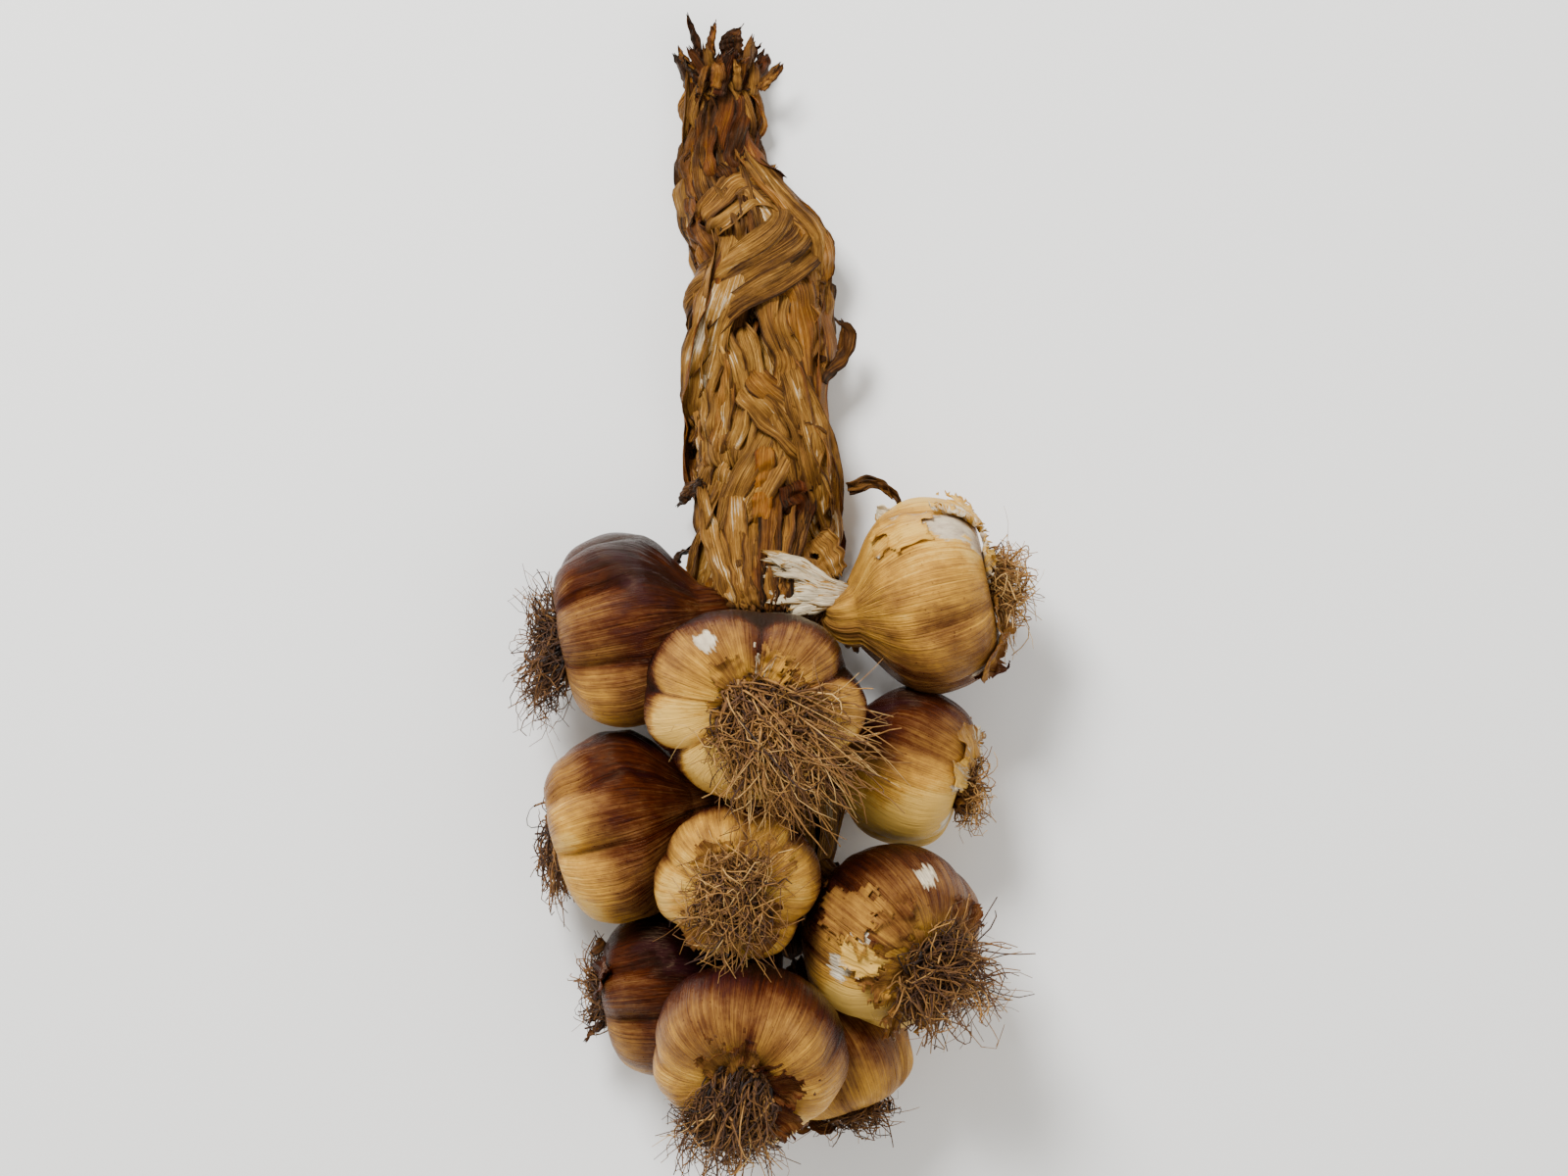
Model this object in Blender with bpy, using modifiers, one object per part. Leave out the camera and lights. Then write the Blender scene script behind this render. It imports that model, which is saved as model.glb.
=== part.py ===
"""A braid of ten smoked garlic bulbs, lying on its back on a flat surface.

The dried leaves are worked into a three-strand plait. Each bulb hangs on it by its own bent neck,
with a mop of dried roots at its other end. X runs across the braid, +Y towards the cut leaf ends
and +Z up, away from the surface. Lengths in the tables are millimetres.
"""

import math
from typing import NamedTuple

import bmesh
import bpy
import numpy as np
from mathutils import Matrix, Vector
from mathutils import noise as mnoise

MM = 0.001
GAP = 0.4  # between pieces that touch
BRAID = "garlic_braid"

# The plait: each strand swings from side to side and over and under as it runs down
PLAIT_TOP, PLAIT_END = 158.0, -112.0
SWING, LIFT = 12.6, 6.8  # of a strand's middle, sideways and up or down
STRAND_WIDE, STRAND_DEEP = 7.2, 4.1  # half widths of a strand's section
STRAND_LEAN = math.radians(24)  # of its section where it crosses the middle
REPEAT = 226.0  # length of plait in which a strand comes back to where it was
FIRST_OVER = 92.8  # where a strand passes leftwards over the middle
FOLD_DEPTH = 0.10  # how far the folds between leaves sink into a strand
PLAIT_SCALE = ((160.0, 0.58), (132.0, 0.64), (108.0, 1.0), (-80.0, 0.98), (-112.0, 0.75))
PLAIT_X = ((160.0, -17.0), (128.0, -15.0), (104.0, -6.5), (40.0, -5.5), (-112.0, -4.0))
PLAIT_REST = 11.0  # height of the plait's middle where it is full size
STRAND_ROUND, STRAND_ALONG = 10, 28

# A bulb's outline, as (share of its radius, share of its height) from root plate to shoulder
OUTLINE = (
    (0.00, 0.09), (0.17, 0.07), (0.36, 0.00), (0.66, 0.01), (0.90, 0.14), (1.00, 0.36),
    (0.95, 0.57), (0.76, 0.76), (0.50, 0.90), (0.31, 1.00),
)
WAIST = 0.42  # height of a bulb's centre, as a share of its height
NECK_R = 4.6
PER_CLOVE, ALONG = 4, 11  # facets round each clove and along a bulb

# The root mops
MOP_ROUND, MOP_ALONG = 10, 7
MOP_ROUGH = 0.16  # how uneven a mop is, as a share of its size

LEAF_THICK = 0.9


class Bulb(NamedTuple):
    """One bulb: where its middle is, which way its roots point and where its neck joins the plait."""

    place: tuple
    roots: tuple
    across: float
    height: float
    oval: float  # its second breadth as a share of the first
    cloves: int
    turn: float
    lobe: float  # how far the creases between cloves sink in
    neck_to: tuple
    mop_at: tuple
    mop: tuple
    smoke: float  # how dark the smoke has made it


BULBS = {
    "upper_left": Bulb((-46, -12.5, 28.6), (-1, -0.20, -0.06), 63, 42, 0.98, 6, 20, 0.17,
                       (-20, -6, 19), (-70, -19, 25), (6.5, 24, 18), 0.9),
    "upper_front": Bulb((-6.5, -33, 58), (0.05, -0.08, 1), 66, 43, 0.88, 6, 75, 0.17,
                        (-6, 2, 27), (7, -48, 75), (25, 21, 9), 0.3),
    "upper_right": Bulb((44, -2.5, 29.8), (0.96, 0.22, 0.06), 62, 43, 1.0, 6, 5, 0.14,
                        (10, -3, 20), (68, -2, 31), (7.5, 16, 15), 0.1),
    "mid_right": Bulb((38.5, -53, 23.4), (0.90, -0.32, 0.10), 51, 39, 1.0, 5, 40, 0.15,
                      (12, -46, 18), (58, -59, 25), (5.5, 17, 14), 0.6),
    "mid_left": Bulb((-47.5, -71, 28.6), (-0.95, -0.26, -0.12), 62, 42, 1.0, 6, 50, 0.16,
                     (-20, -62, 19), (-67, -79, 25), (5.0, 23, 16), 0.7),
    "mid_front": Bulb((-12.0, -85, 55.5), (-0.02, -0.14, 1), 49, 38, 0.97, 6, 10, 0.14,
                      (-4, -66, 28), (-12, -91, 74), (17, 19, 7), 0.3),
    "lower_right": Bulb((32.5, -102, 41), (0.52, -0.40, 0.62), 57, 44, 1.0, 6, 30, 0.14,
                        (10, -82, 18), (49, -113, 56), (18, 20, 9), 0.5),
    "lower_left": Bulb((-34, -121, 25.2), (-0.96, -0.12, -0.16), 54, 38, 0.97, 5, 65, 0.15,
                       (-12, -108, 17), (-54, -119, 22), (5.0, 17, 13), 0.8),
    "bottom_front": Bulb((-8, -134, 62), (-0.14, -0.50, 0.84), 60, 42, 0.95, 5, 55, 0.15,
                         (-3, -105, 24), (-15, -157, 62), (14, 17, 9), 0.4),
    "bottom_right": Bulb((17, -138, 22.2), (0.36, -0.92, -0.12), 48, 38, 1.0, 5, 15, 0.15,
                         (6, -112, 17), (24, -158, 21), (5.0, 15, 12), 0.4),
}
# Where bulbs touch, the first is pressed in by the others.
PRESSED = {
    "upper_left": ("upper_front",),
    "mid_right": ("upper_right",),
    "mid_left": ("mid_front",),
    "lower_right": ("mid_front",),
    "lower_left": ("bottom_front", "mid_left"),
    "bottom_right": ("bottom_front", "lower_right"),
}

MATERIALS = {
    "skin_pale": ("C8A468", 0.38),
    "skin_smoked": ("6E3A16", 0.30),
    "roots": ("6B4A2A", 0.9),
    "leaf": ("8A6A38", 0.75),
    "leaf_dark": ("4A2E1A", 0.7),
}


def material(name):
    """The named finish, made once."""
    if name in bpy.data.materials:
        return bpy.data.materials[name]
    code, rough = MATERIALS[name]
    srgb = [int(code[i:i + 2], 16) / 255 for i in (0, 2, 4)]
    made = bpy.data.materials.new(name)
    made.use_nodes = True
    shader = made.node_tree.nodes["Principled BSDF"]
    shader.inputs["Base Color"].default_value = [c ** 2.2 for c in srgb] + [1]
    shader.inputs["Roughness"].default_value = rough
    return made


def collection(name):
    made = bpy.data.collections.new(name)
    bpy.context.scene.collection.children.link(made)
    return made


def add(name, data, group, finish=None):
    obj = bpy.data.objects.new(name, data)
    group.objects.link(obj)
    if finish:
        data.materials.append(material(finish))
    return obj


# ---- bulbs ------------------------------------------------------------------------------------

def smooth_through(keys, t):
    """The Catmull-Rom curve through keys, an (n, d) array, at t from 0 to 1."""
    keys = np.asarray(keys, float)
    padded = np.vstack([2 * keys[0] - keys[1], keys, 2 * keys[-1] - keys[-2]])
    at = np.clip(t, 0, 1) * (len(keys) - 1)
    k = np.minimum(at.astype(int), len(keys) - 2)
    f = (at - k)[..., None]
    p = [padded[k + i] for i in range(4)]
    return 0.5 * (2 * p[1] + (p[2] - p[0]) * f + (2 * p[0] - 5 * p[1] + 4 * p[2] - p[3]) * f ** 2
                  + (3 * p[1] - p[0] - 3 * p[2] + p[3]) * f ** 3)


def clove_edges(bulb):
    """Angles of the creases between a bulb's cloves, whose widths differ."""
    widths = 1 + 0.32 * np.sin(2.4 * np.arange(bulb.cloves) + bulb.turn)
    return np.concatenate([[0], np.cumsum(widths)]) / widths.sum() * 2 * math.pi + math.radians(bulb.turn)


def clove_bulge(share, bulb):
    """1 at the middle of each clove, 0 in the creases between them, where share counts cloves."""
    fullness = 0.84 + 0.22 * np.cos(1.9 * np.floor(share) + bulb.turn)
    return fullness * (1 - np.abs(2 * (share % 1) - 1) ** 2.3)


def bulb_points(bulb, t, angle, grow=0.0):
    """Points of a bulb's skin, in millimetres, at t from 0 (root plate) to 1 (neck's end) and angle
    round it, where each clove has an equal share: the outline, pressed in between the cloves,
    carried up the axis and then along the bent neck. grow moves the skin outwards."""
    radius, height = bulb.across / 2, bulb.height
    share = angle / (2 * math.pi) * bulb.cloves
    angle = np.interp(share, np.arange(bulb.cloves + 1), clove_edges(bulb))
    body = 0.80  # share of t that lies on the bulb's body; the neck has the rest
    outline = smooth_through(OUTLINE, t / body)
    share_r, share_h = outline[..., 0], outline[..., 1]
    lobes = bulb.lobe * np.clip(np.sin(np.clip(share_h * 1.15 + 0.22, 0, 1) * math.pi), 0, 1)
    lobes = lobes * np.clip(share_r * 2.2, 0, 1)
    across = radius * share_r * (1 - lobes + lobes * clove_bulge(share, bulb))
    along = np.clip((t - body) / (1 - body), 0, 1)
    neck = NECK_R + (0.31 * radius - NECK_R) * np.cos(np.clip(along * 1.6, 0, 1) * math.pi / 2)
    closed = np.sqrt(1 - np.clip((t - 0.97) / 0.03, 0, 1) ** 2)
    across = np.where(t > body, neck * closed, across)
    up = -np.array(Vector(bulb.roots).normalized())
    centre = np.array(bulb.place, float)
    shoulder = centre + up * (1 - WAIST) * height
    tip = np.array(bulb.neck_to, float)
    bend = shoulder + up * 0.42 * np.linalg.norm(tip - shoulder)
    s = along[..., None]
    line = (1 - s) ** 2 * shoulder + 2 * s * (1 - s) * bend + s ** 2 * tip
    slope = 2 * (1 - s) * (bend - shoulder) + 2 * s * (tip - bend)
    slope = slope / np.linalg.norm(slope, axis=-1, keepdims=True)
    line = np.where((t > body)[..., None], line,
                    centre + up * ((share_h - WAIST) * height)[..., None])
    slope = np.where((t > body)[..., None], slope, up)
    side = np.cross(up, [0.13, 0.21, 0.97] if abs(up[2]) < 0.8 else [1.0, 0.1, 0.0])
    side = side / np.linalg.norm(side)
    side = side - slope * (slope @ side)[..., None]
    side = side / np.linalg.norm(side, axis=-1, keepdims=True)
    other = np.cross(slope, side)
    ring = bulb.oval * np.cos(angle)[..., None] * side + np.sin(angle)[..., None] * other
    out = line + ring * (across + grow * np.clip(share_r * 4, 0, 1))[..., None]
    out = out - up * (grow * np.clip(1 - share_h / WAIST, 0, 1))[..., None]
    out[..., 2] = np.maximum(out[..., 2], -grow)
    return out


def reshaped_ball(name, around, along, group, finish, formula):
    """A primitive sphere whose rings are carried to the places the formula gives, t = 0 and 1
    being its poles."""
    mesh = bpy.data.meshes.new(name)
    shape = bmesh.new()
    bmesh.ops.create_uvsphere(shape, u_segments=around, v_segments=along, radius=1)
    places = np.array([v.co for v in shape.verts])
    t = np.arccos(np.clip(-places[:, 2], -1, 1)) / math.pi
    angle = np.arctan2(places[:, 1], places[:, 0]) % (2 * math.pi)
    for vert, place in zip(shape.verts, formula(t, angle) * MM):
        vert.co = place
    shape.to_mesh(mesh)
    shape.free()
    mesh.shade_smooth()
    return add(name, mesh, group, finish)


def bulb_object(name, bulb, group, finish=None, grow=0.0):
    return reshaped_ball(name, PER_CLOVE * bulb.cloves, ALONG, group, finish,
                         lambda t, angle: bulb_points(bulb, t, angle, grow))


# ---- the plait --------------------------------------------------------------------------------

def down(keys, y):
    """A value that changes down the plait, from (y, value) keys listed top to bottom."""
    ys, values = zip(*keys[::-1])
    return np.interp(y, ys, values)


def strand_points(which, t, angle, grow=0.0):
    """Points of one of the three strands, in millimetres, at t from 0 (top) to 1 and angle round it.
    Its middle swings sideways as the sine of a phase that falls steadily with y, and up and down as
    the sine of twice that phase, which carries it over and under the other two. Its section is an
    ellipse that leans as it crosses the middle, with shallow folds, rounded off at both ends."""
    y = PLAIT_TOP + (PLAIT_END - PLAIT_TOP) * t
    scale, middle = down(PLAIT_SCALE, y), down(PLAIT_X, y)
    phase = 2 * math.pi * ((FIRST_OVER - y) / REPEAT + which / 3 + 210 / 360)
    wide, deep = scale * STRAND_WIDE, scale * STRAND_DEEP
    edge = np.minimum(t, 1 - t) * (PLAIT_TOP - PLAIT_END) / 5
    closed = np.sqrt(np.clip(1 - (1 - np.clip(edge, 0, 1)) ** 2, 0, 1))
    fold = closed * (1 - FOLD_DEPTH * (0.5 + 0.5 * np.cos(STRAND_ROUND / 2 * angle + y / 22 + which)))
    u = np.cos(angle) * (wide * fold + grow * closed)
    v = np.sin(angle) * (deep * fold + grow * closed)
    lean = STRAND_LEAN * np.cos(phase)
    x = middle + scale * SWING * np.sin(phase) + u * np.cos(lean) - v * np.sin(lean)
    z = scale * (PLAIT_REST + LIFT * np.sin(2 * phase)) + u * np.sin(lean) + v * np.cos(lean)
    ends = np.where(t < 0.5, grow, -grow) * (1 - closed)
    return np.stack([x, y + ends, np.maximum(z, -grow)], axis=-1)


def strand_object(name, which, group, finish=None, grow=0.0):
    return reshaped_ball(name, STRAND_ROUND, STRAND_ALONG, group, finish,
                         lambda t, angle: strand_points(which, t, angle, grow))


# ---- roots and loose leaves ---------------------------------------------------------------------

def mop_object(name, bulb, group):
    """A mop of roots: a flattened ball about the bulb's root direction, with an uneven outside."""
    mesh = bpy.data.meshes.new(name)
    shape = bmesh.new()
    bmesh.ops.create_uvsphere(shape, u_segments=MOP_ROUND, v_segments=MOP_ALONG, radius=1)
    sizes = Vector(bulb.mop)
    facing = Vector(bulb.roots).normalized()
    if facing.z > 0.5:  # lies on top of a bulb that faces up
        turn = Vector((0, 0, 1)).rotation_difference(facing).to_matrix()
    else:  # hangs at the side
        flat = Vector((facing.x, facing.y, 0)).normalized()
        turn = Matrix((flat, Vector((-flat.y, flat.x, 0)), Vector((0, 0, 1)))).transposed()
    for vert in shape.verts:
        rough = 1 + MOP_ROUGH * mnoise.noise(vert.co * 2.1 + Vector(bulb.place))
        vert.co = turn @ Vector([c * s for c, s in zip(vert.co, sizes)]) * rough
        vert.co = (vert.co + Vector(bulb.mop_at)) * MM
        vert.co.z = max(vert.co.z, 0.0)
    shape.to_mesh(mesh)
    shape.free()
    return add(name, mesh, group, "roots")


class Leaf(NamedTuple):
    """A loose scrap of leaf: the route of its middle line, its width, where its width points."""

    route: tuple
    width: float
    side: tuple
    finish: str


LEAVES = {
    "tip_far_left": Leaf(((-24, 156, 12), (-25, 164, 13), (-27.5, 173, 14)), 4.0, (1, 0.2, 0.5), "leaf_dark"),
    "tip_left": Leaf(((-25, 153, 12), (-28, 158, 13), (-30, 163, 14)), 4.5, (0.7, 0.4, 1), "leaf"),
    "tip_middle": Leaf(((-21, 158, 13), (-20.5, 165, 14), (-19.5, 171, 14)), 3.6, (1, 0, 0.3), "leaf_dark"),
    "tip_cup": Leaf(((-14, 158, 10), (-14.5, 165, 11), (-12, 170, 12)), 8.5, (1, 0, 0.2), "leaf"),
    "tip_right": Leaf(((-6, 150, 14), (-2, 154, 15), (1, 158, 15)), 4.0, (1, -0.6, 0), "leaf"),
    "hooked_leaf": Leaf(((12, 62, 15), (19, 69, 14), (20, 77, 15), (16.5, 81, 17)), 7.0, (1, -0.3, 0.6), "leaf_dark"),
    "curled_leaf": Leaf(((6, 48, 24), (12, 45, 22), (15, 40, 17)), 7.0, (0.3, 1, 0.1), "leaf"),
    "corner_leaf": Leaf(((-23, 31, 19), (-28, 28, 14), (-31, 25, 9)), 7.0, (0.2, 1, 0.1), "leaf"),
    "dark_tip": Leaf(((-24, 13, 15), (-30, 9, 12), (-31, 3, 11)), 5.0, (0.4, 0.2, 1), "leaf_dark"),
    "brown_flap": Leaf(((9, 16, 23), (14, 9, 27), (18, 1, 27)), 13.0, (1, 0.3, -0.2), "leaf_dark"),
    "stem_scrap": Leaf(((20, 24, 27), (28, 29, 30), (37, 33, 31)), 7.0, (0, 1, 0.3), "leaf"),
}


def leaf_object(name, leaf, group):
    """A dried leaf scrap: a strip along a smooth route, widest a third of the way and drawn to a
    torn point, given its thickness by Solidify."""
    rows, cols = 7, 3
    t = np.linspace(0, 1, rows)
    line = smooth_through(leaf.route, t)
    half = leaf.width / 2 * np.clip(0.62 + 1.5 * t - 2.0 * t ** 2, 0.12, 1)
    across = np.linspace(-1, 1, cols)
    side = np.array(Vector(leaf.side).normalized())
    slope = np.gradient(line, axis=0)
    slope /= np.linalg.norm(slope, axis=1, keepdims=True)
    lift = np.cross(slope, side)
    grid = (line[:, None] + across[None, :, None] * half[:, None, None] * side
            + (0.25 * (across ** 2)[None, :, None] * half[:, None, None]) * lift[:, None])
    mesh = bpy.data.meshes.new(name)
    faces = [(r * cols + c, r * cols + c + 1, (r + 1) * cols + c + 1, (r + 1) * cols + c)
             for r in range(rows - 1) for c in range(cols - 1)]
    mesh.from_pydata((grid.reshape(-1, 3) * MM).tolist(), [], faces)
    obj = add(name, mesh, group, leaf.finish)
    wall = obj.modifiers.new("wall", "SOLIDIFY")
    wall.thickness = LEAF_THICK * MM
    wall.offset = 0
    return obj


# ---- the whole --------------------------------------------------------------------------------

def cutter(obj):
    obj.hide_render = True
    obj.display_type = "WIRE"
    return obj


def cut(obj, *tools):
    for tool in tools:
        bite = obj.modifiers.new("cut_" + tool.name, "BOOLEAN")
        bite.operation = "DIFFERENCE"
        bite.object = tool


def main():
    for obj in list(bpy.data.objects):
        bpy.data.objects.remove(obj)
    parts, tools = collection(BRAID), collection("cutters")
    strand_tools = []
    for which, letter in enumerate("abc"):
        strand_object("strand_" + letter, which, parts, "leaf")
        strand_tools.append(cutter(strand_object("grown_strand_" + letter, which, tools, grow=GAP)))
    bulb_tools = {name: cutter(bulb_object("grown_" + name, bulb, tools, grow=GAP))
                  for name, bulb in BULBS.items()}
    for name, bulb in BULBS.items():
        finish = "skin_smoked" if bulb.smoke > 0.5 else "skin_pale"
        body = bulb_object("bulb_" + name, bulb, parts, finish)
        cut(body, *strand_tools, *(bulb_tools[n] for n in PRESSED.get(name, ())))
        mop = mop_object("roots_" + name, bulb, parts)
        reach = max(bulb.mop) + 12
        cut(mop, *(tool for n, tool in bulb_tools.items()
                   if math.dist(BULBS[n].place, bulb.mop_at) < BULBS[n].across / 2 + reach))
    for name, leaf in LEAVES.items():
        strip = leaf_object(name, leaf, parts)
        cut(strip, *strand_tools, *(tool for n, tool in bulb_tools.items()
                                    if math.dist(BULBS[n].place, leaf.route[-1]) < BULBS[n].across))


main()
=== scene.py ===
# %% [markdown]
# # A braid of smoked garlic
#
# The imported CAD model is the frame: ten bulbs, ten root tufts, three plaited strands and some loose
# scraps of leaf, each a plain closed solid. Here every one of them gets its real surface. A bulb gets
# clove lobes, skin ribs and smoke stains, a tuft becomes hundreds of separate dry roots, and a strand
# becomes a bundle of ribbed dry leaves. Each new piece takes its place and size from the box of the
# solid it replaces.

import math
from functools import partial

import bpy
import numpy as np
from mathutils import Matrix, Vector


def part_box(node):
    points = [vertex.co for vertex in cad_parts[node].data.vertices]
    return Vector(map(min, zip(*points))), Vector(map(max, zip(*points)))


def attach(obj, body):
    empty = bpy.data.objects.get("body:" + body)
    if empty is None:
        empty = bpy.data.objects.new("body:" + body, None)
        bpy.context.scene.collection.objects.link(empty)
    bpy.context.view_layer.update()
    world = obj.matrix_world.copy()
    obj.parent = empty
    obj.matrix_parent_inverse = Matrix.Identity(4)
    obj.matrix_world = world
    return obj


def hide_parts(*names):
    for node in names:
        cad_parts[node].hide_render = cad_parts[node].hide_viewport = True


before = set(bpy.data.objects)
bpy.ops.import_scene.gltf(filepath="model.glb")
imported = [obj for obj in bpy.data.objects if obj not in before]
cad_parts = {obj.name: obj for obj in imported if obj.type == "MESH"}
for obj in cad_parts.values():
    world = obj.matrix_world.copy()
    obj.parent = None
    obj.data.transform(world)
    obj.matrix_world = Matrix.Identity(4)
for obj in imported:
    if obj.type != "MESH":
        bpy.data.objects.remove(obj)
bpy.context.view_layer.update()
MM = 0.001
TAU = 2 * math.pi
rng = np.random.default_rng(1024)

# %% [markdown]
# ## Small tools
#
# Every surface below is made the same way: a formula gives points over a grid, all at once, and one
# function turns the grid into a mesh. Values that vary over a surface, such as how smoked it is, are
# stored as attributes, which the materials read. Lengths are millimetres until the mesh is written.

# %% Meshes from arrays


def box_of(node):
    """The node's lowest and highest corners in millimetres."""
    low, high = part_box(node)
    return np.array(low) / MM, np.array(high) / MM


def unit(v):
    """Vectors along the last axis, each at length 1."""
    v = np.asarray(v, float)
    return v / np.maximum(np.linalg.norm(v, axis=-1, keepdims=True), 1e-9)


def together(*parts):
    """Values over a grid, broadcast and put together as vectors along a last axis."""
    return np.stack(np.broadcast_arrays(*parts), -1)


def smooth_through(keys, t):
    """The Catmull-Rom curve through keys, an (n, d) array, at t from 0 to 1."""
    keys = np.asarray(keys, float)
    padded = np.vstack([2 * keys[0] - keys[1], keys, 2 * keys[-1] - keys[-2]])
    at = np.clip(t, 0, 1) * (len(keys) - 1)
    k = np.minimum(at.astype(int), len(keys) - 2)
    f = (at - k)[..., None]
    p = [padded[k + i] for i in range(4)]
    return 0.5 * (2 * p[1] + (p[2] - p[0]) * f + (2 * p[0] - 5 * p[1] + 4 * p[2] - p[3]) * f ** 2
                  + (3 * p[1] - p[0] - 3 * p[2] + p[3]) * f ** 3)


def step(x, low, high):
    """0 below low, 1 above high, and a smooth rise between them."""
    s = np.clip((np.asarray(x, float) - low) / (high - low), 0, 1)
    return s * s * (3 - 2 * s)


def ripple(seed, around, along, waves, rough=1.0):
    """Smooth noise in about -1 to 1, repeating after one turn around: a sum of waves, each with a
    whole number of turns around, its own drift along and its own start."""
    r = np.random.default_rng(seed)
    total = np.zeros(np.broadcast(around, along).shape)
    for turns in waves:
        total = total + np.cos(turns * around + r.uniform(0, TAU) + rough * r.normal() * along * turns)
    return total / math.sqrt(len(waves))


def speckle(seed, points, lengths):
    """Smooth noise in about -1 to 1 over points: a sum of plane waves of these lengths in mm, three
    of each, in random directions."""
    r = np.random.default_rng(seed)
    total = 0
    for length in np.repeat(lengths, 3):
        total = total + np.sin(points @ (unit(r.normal(size=3)) * TAU / length) + r.uniform(0, TAU))
    return total / math.sqrt(3 * len(lengths))


def grid_faces(rows, cols, closed):
    """Corner numbers of the quads of a grid, joined across its seam if it is closed."""
    r, c = np.mgrid[0:rows - 1, 0:cols if closed else cols - 1]
    n = (c + 1) % cols
    return np.stack([r * cols + c, r * cols + n, (r + 1) * cols + n, (r + 1) * cols + c], -1).reshape(-1, 4)


def write_mesh(name, points, faces, material, slot, nodes=(), **values):
    """A piece on the braid from points in millimetres and a list of face arrays. Each further
    keyword is an attribute, one number or one vector for each point."""
    mesh = bpy.data.meshes.new(name)
    points = np.asarray(points, float).reshape(-1, 3)
    mesh.vertices.add(len(points))
    mesh.vertices.foreach_set("co", (points * MM).ravel())
    corners = np.concatenate([f.ravel() for f in faces])
    sizes = np.concatenate([np.full(len(f), f.shape[1]) for f in faces])
    mesh.loops.add(len(corners))
    mesh.loops.foreach_set("vertex_index", corners.astype(np.int32))
    mesh.polygons.add(len(sizes))
    mesh.polygons.foreach_set("loop_start", (np.cumsum(sizes) - sizes).astype(np.int32))
    for key, value in values.items():
        value = np.asarray(value, float)
        kind, field = ("FLOAT_VECTOR", "vector") if value.ndim > 1 else ("FLOAT", "value")
        mesh.attributes.new(key, kind, "POINT").data.foreach_set(field, value.ravel())
    mesh.update(calc_edges=True)
    mesh.shade_smooth()
    mesh.materials.append(material)
    piece = bpy.data.objects.new(name, mesh)
    bpy.context.scene.collection.objects.link(piece)
    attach(piece, "root")
    if nodes:
        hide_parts(*nodes)
    made.append((name, int((sizes - 2).sum())))
    return piece


def thicken(sheet, thick):
    """Gives a sheet its thickness in mm, half of it on each side."""
    wall = sheet.modifiers.new("thickness", "SOLIDIFY")
    wall.thickness, wall.offset = thick * MM, 0


made = []

# %% [markdown]
# ## Materials
#
# Garlic skin is dry paper with fine ribs that run from the root plate to the neck. Smoke has browned it
# unevenly, most at the neck. It could be painted by hand on each bulb, but noise gives every bulb its own
# ribs and stains at once, and stays sharp from close by. One material serves all ten bulbs: the attribute
# `tone` says how dark each point is, partly from smoke and partly painted shade in the creases between
# cloves and painted shade and light on one side of each bulb, and `grain` runs round the bulb once, so that
# noise drawn out along the bulb gives ribs without a seam. Roots and leaves get one material each, with a
# `tone` of their own for each root or leaf, which on a leaf holds painted shade at its edges and ends. Dark
# skin keeps its warm colour only if the reflected sky is weak and brownish, so the specular level is low
# and has a tint.

# %% Node helpers and colours

SMOOTH, TIMES = dict(interpolation_type="SMOOTHSTEP"), dict(operation="MULTIPLY")
TIMES_PLUS, BLEND = dict(operation="MULTIPLY_ADD"), dict(data_type="RGBA", out=2)
A, B = 6, 7  # a blend's two colour inputs


def linear(code):
    """An sRGB hex colour as linear red, green, blue and alpha."""
    srgb = [int(code[i:i + 2], 16) / 255 for i in (0, 2, 4)]
    return [c / 12.92 if c <= 0.04045 else ((c + 0.055) / 1.055) ** 2.4 for c in srgb] + [1]


def fill(tree, node, inputs):
    """Sets a node's inputs, given by name or number. What comes out of another node is linked."""
    for key, value in inputs.items():
        if isinstance(value, bpy.types.NodeSocket):
            tree.links.new(value, node.inputs[key])
        else:
            node.inputs[key].default_value = value


def add_node(tree, kind, *values, out=0, at=None, stops=(), **named):
    """Adds a node and returns its output `out`. values go to its inputs in order, and at gives inputs by
    number. A keyword is a property of the node or, if it has none of that name, an input. stops, as
    (place, hex colour), fill a colour ramp."""
    node = tree.nodes.new("ShaderNode" + kind)
    inputs = dict(enumerate(values)) | (at or {})
    for key, value in named.items():
        if hasattr(node, key):
            setattr(node, key, value)
        else:
            inputs[key] = value
    fill(tree, node, inputs)
    while stops and len(node.color_ramp.elements) < len(stops):
        node.color_ramp.elements.new(0.5)
    for element, (place, code) in zip(node.color_ramp.elements if stops else (), stops):
        element.position = place
        element.color = linear(code)
    return node.outputs[out]


def new_material(name):
    """A new material, a function that adds a node to it, and one that fills in its shader."""
    material = bpy.data.materials.new(name)
    material.use_nodes = True
    tree = material.node_tree
    return material, partial(add_node, tree), partial(fill, tree, tree.nodes["Principled BSDF"])


def grain_noise(node, unit_mm, size_mm, stretch, detail=4.0, rough=0.55):
    """Noise over the grain attribute, drawn out along the piece: one step of grain is unit_mm long on the
    piece, and a blob of the noise is size_mm across."""
    grain = node("Attribute", attribute_name="grain", out="Vector")
    drawn = node("Mapping", grain, Scale=stretch)
    return node("TexNoise", drawn, Scale=unit_mm / size_mm, Detail=detail, Roughness=rough, out="Fac")


def vary(node, value, *patterns):
    """value moved up and down by patterns, each a noise about a half and its strength."""
    value = node("Math", value, -0.5 * sum(strength for _, strength in patterns), operation="ADD")
    for pattern, strength in patterns:
        value = node("Math", pattern, strength, value, **TIMES_PLUS)
    return value


# %% Garlic skin

# place along the ramp, from pale to fully smoked, and colour
SMOKED_SKIN = ((0.0, "DDB054"), (0.14, "C38D34"), (0.32, "90642D"), (0.5, "643D1D"), (0.66, "451C09"),
               (0.82, "290C05"), (1.0, "120403"))
UNDER_SKIN = ((0.3, "8F7E74"), (0.46, "B5A189"), (0.6, "DFCFB0"), (0.7, "EFE4CC"))
PURPLE_BLOOM, TORN_RIM = "3E1A20", "E8D6B0"
BULB_RADIUS = 31.0
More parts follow.
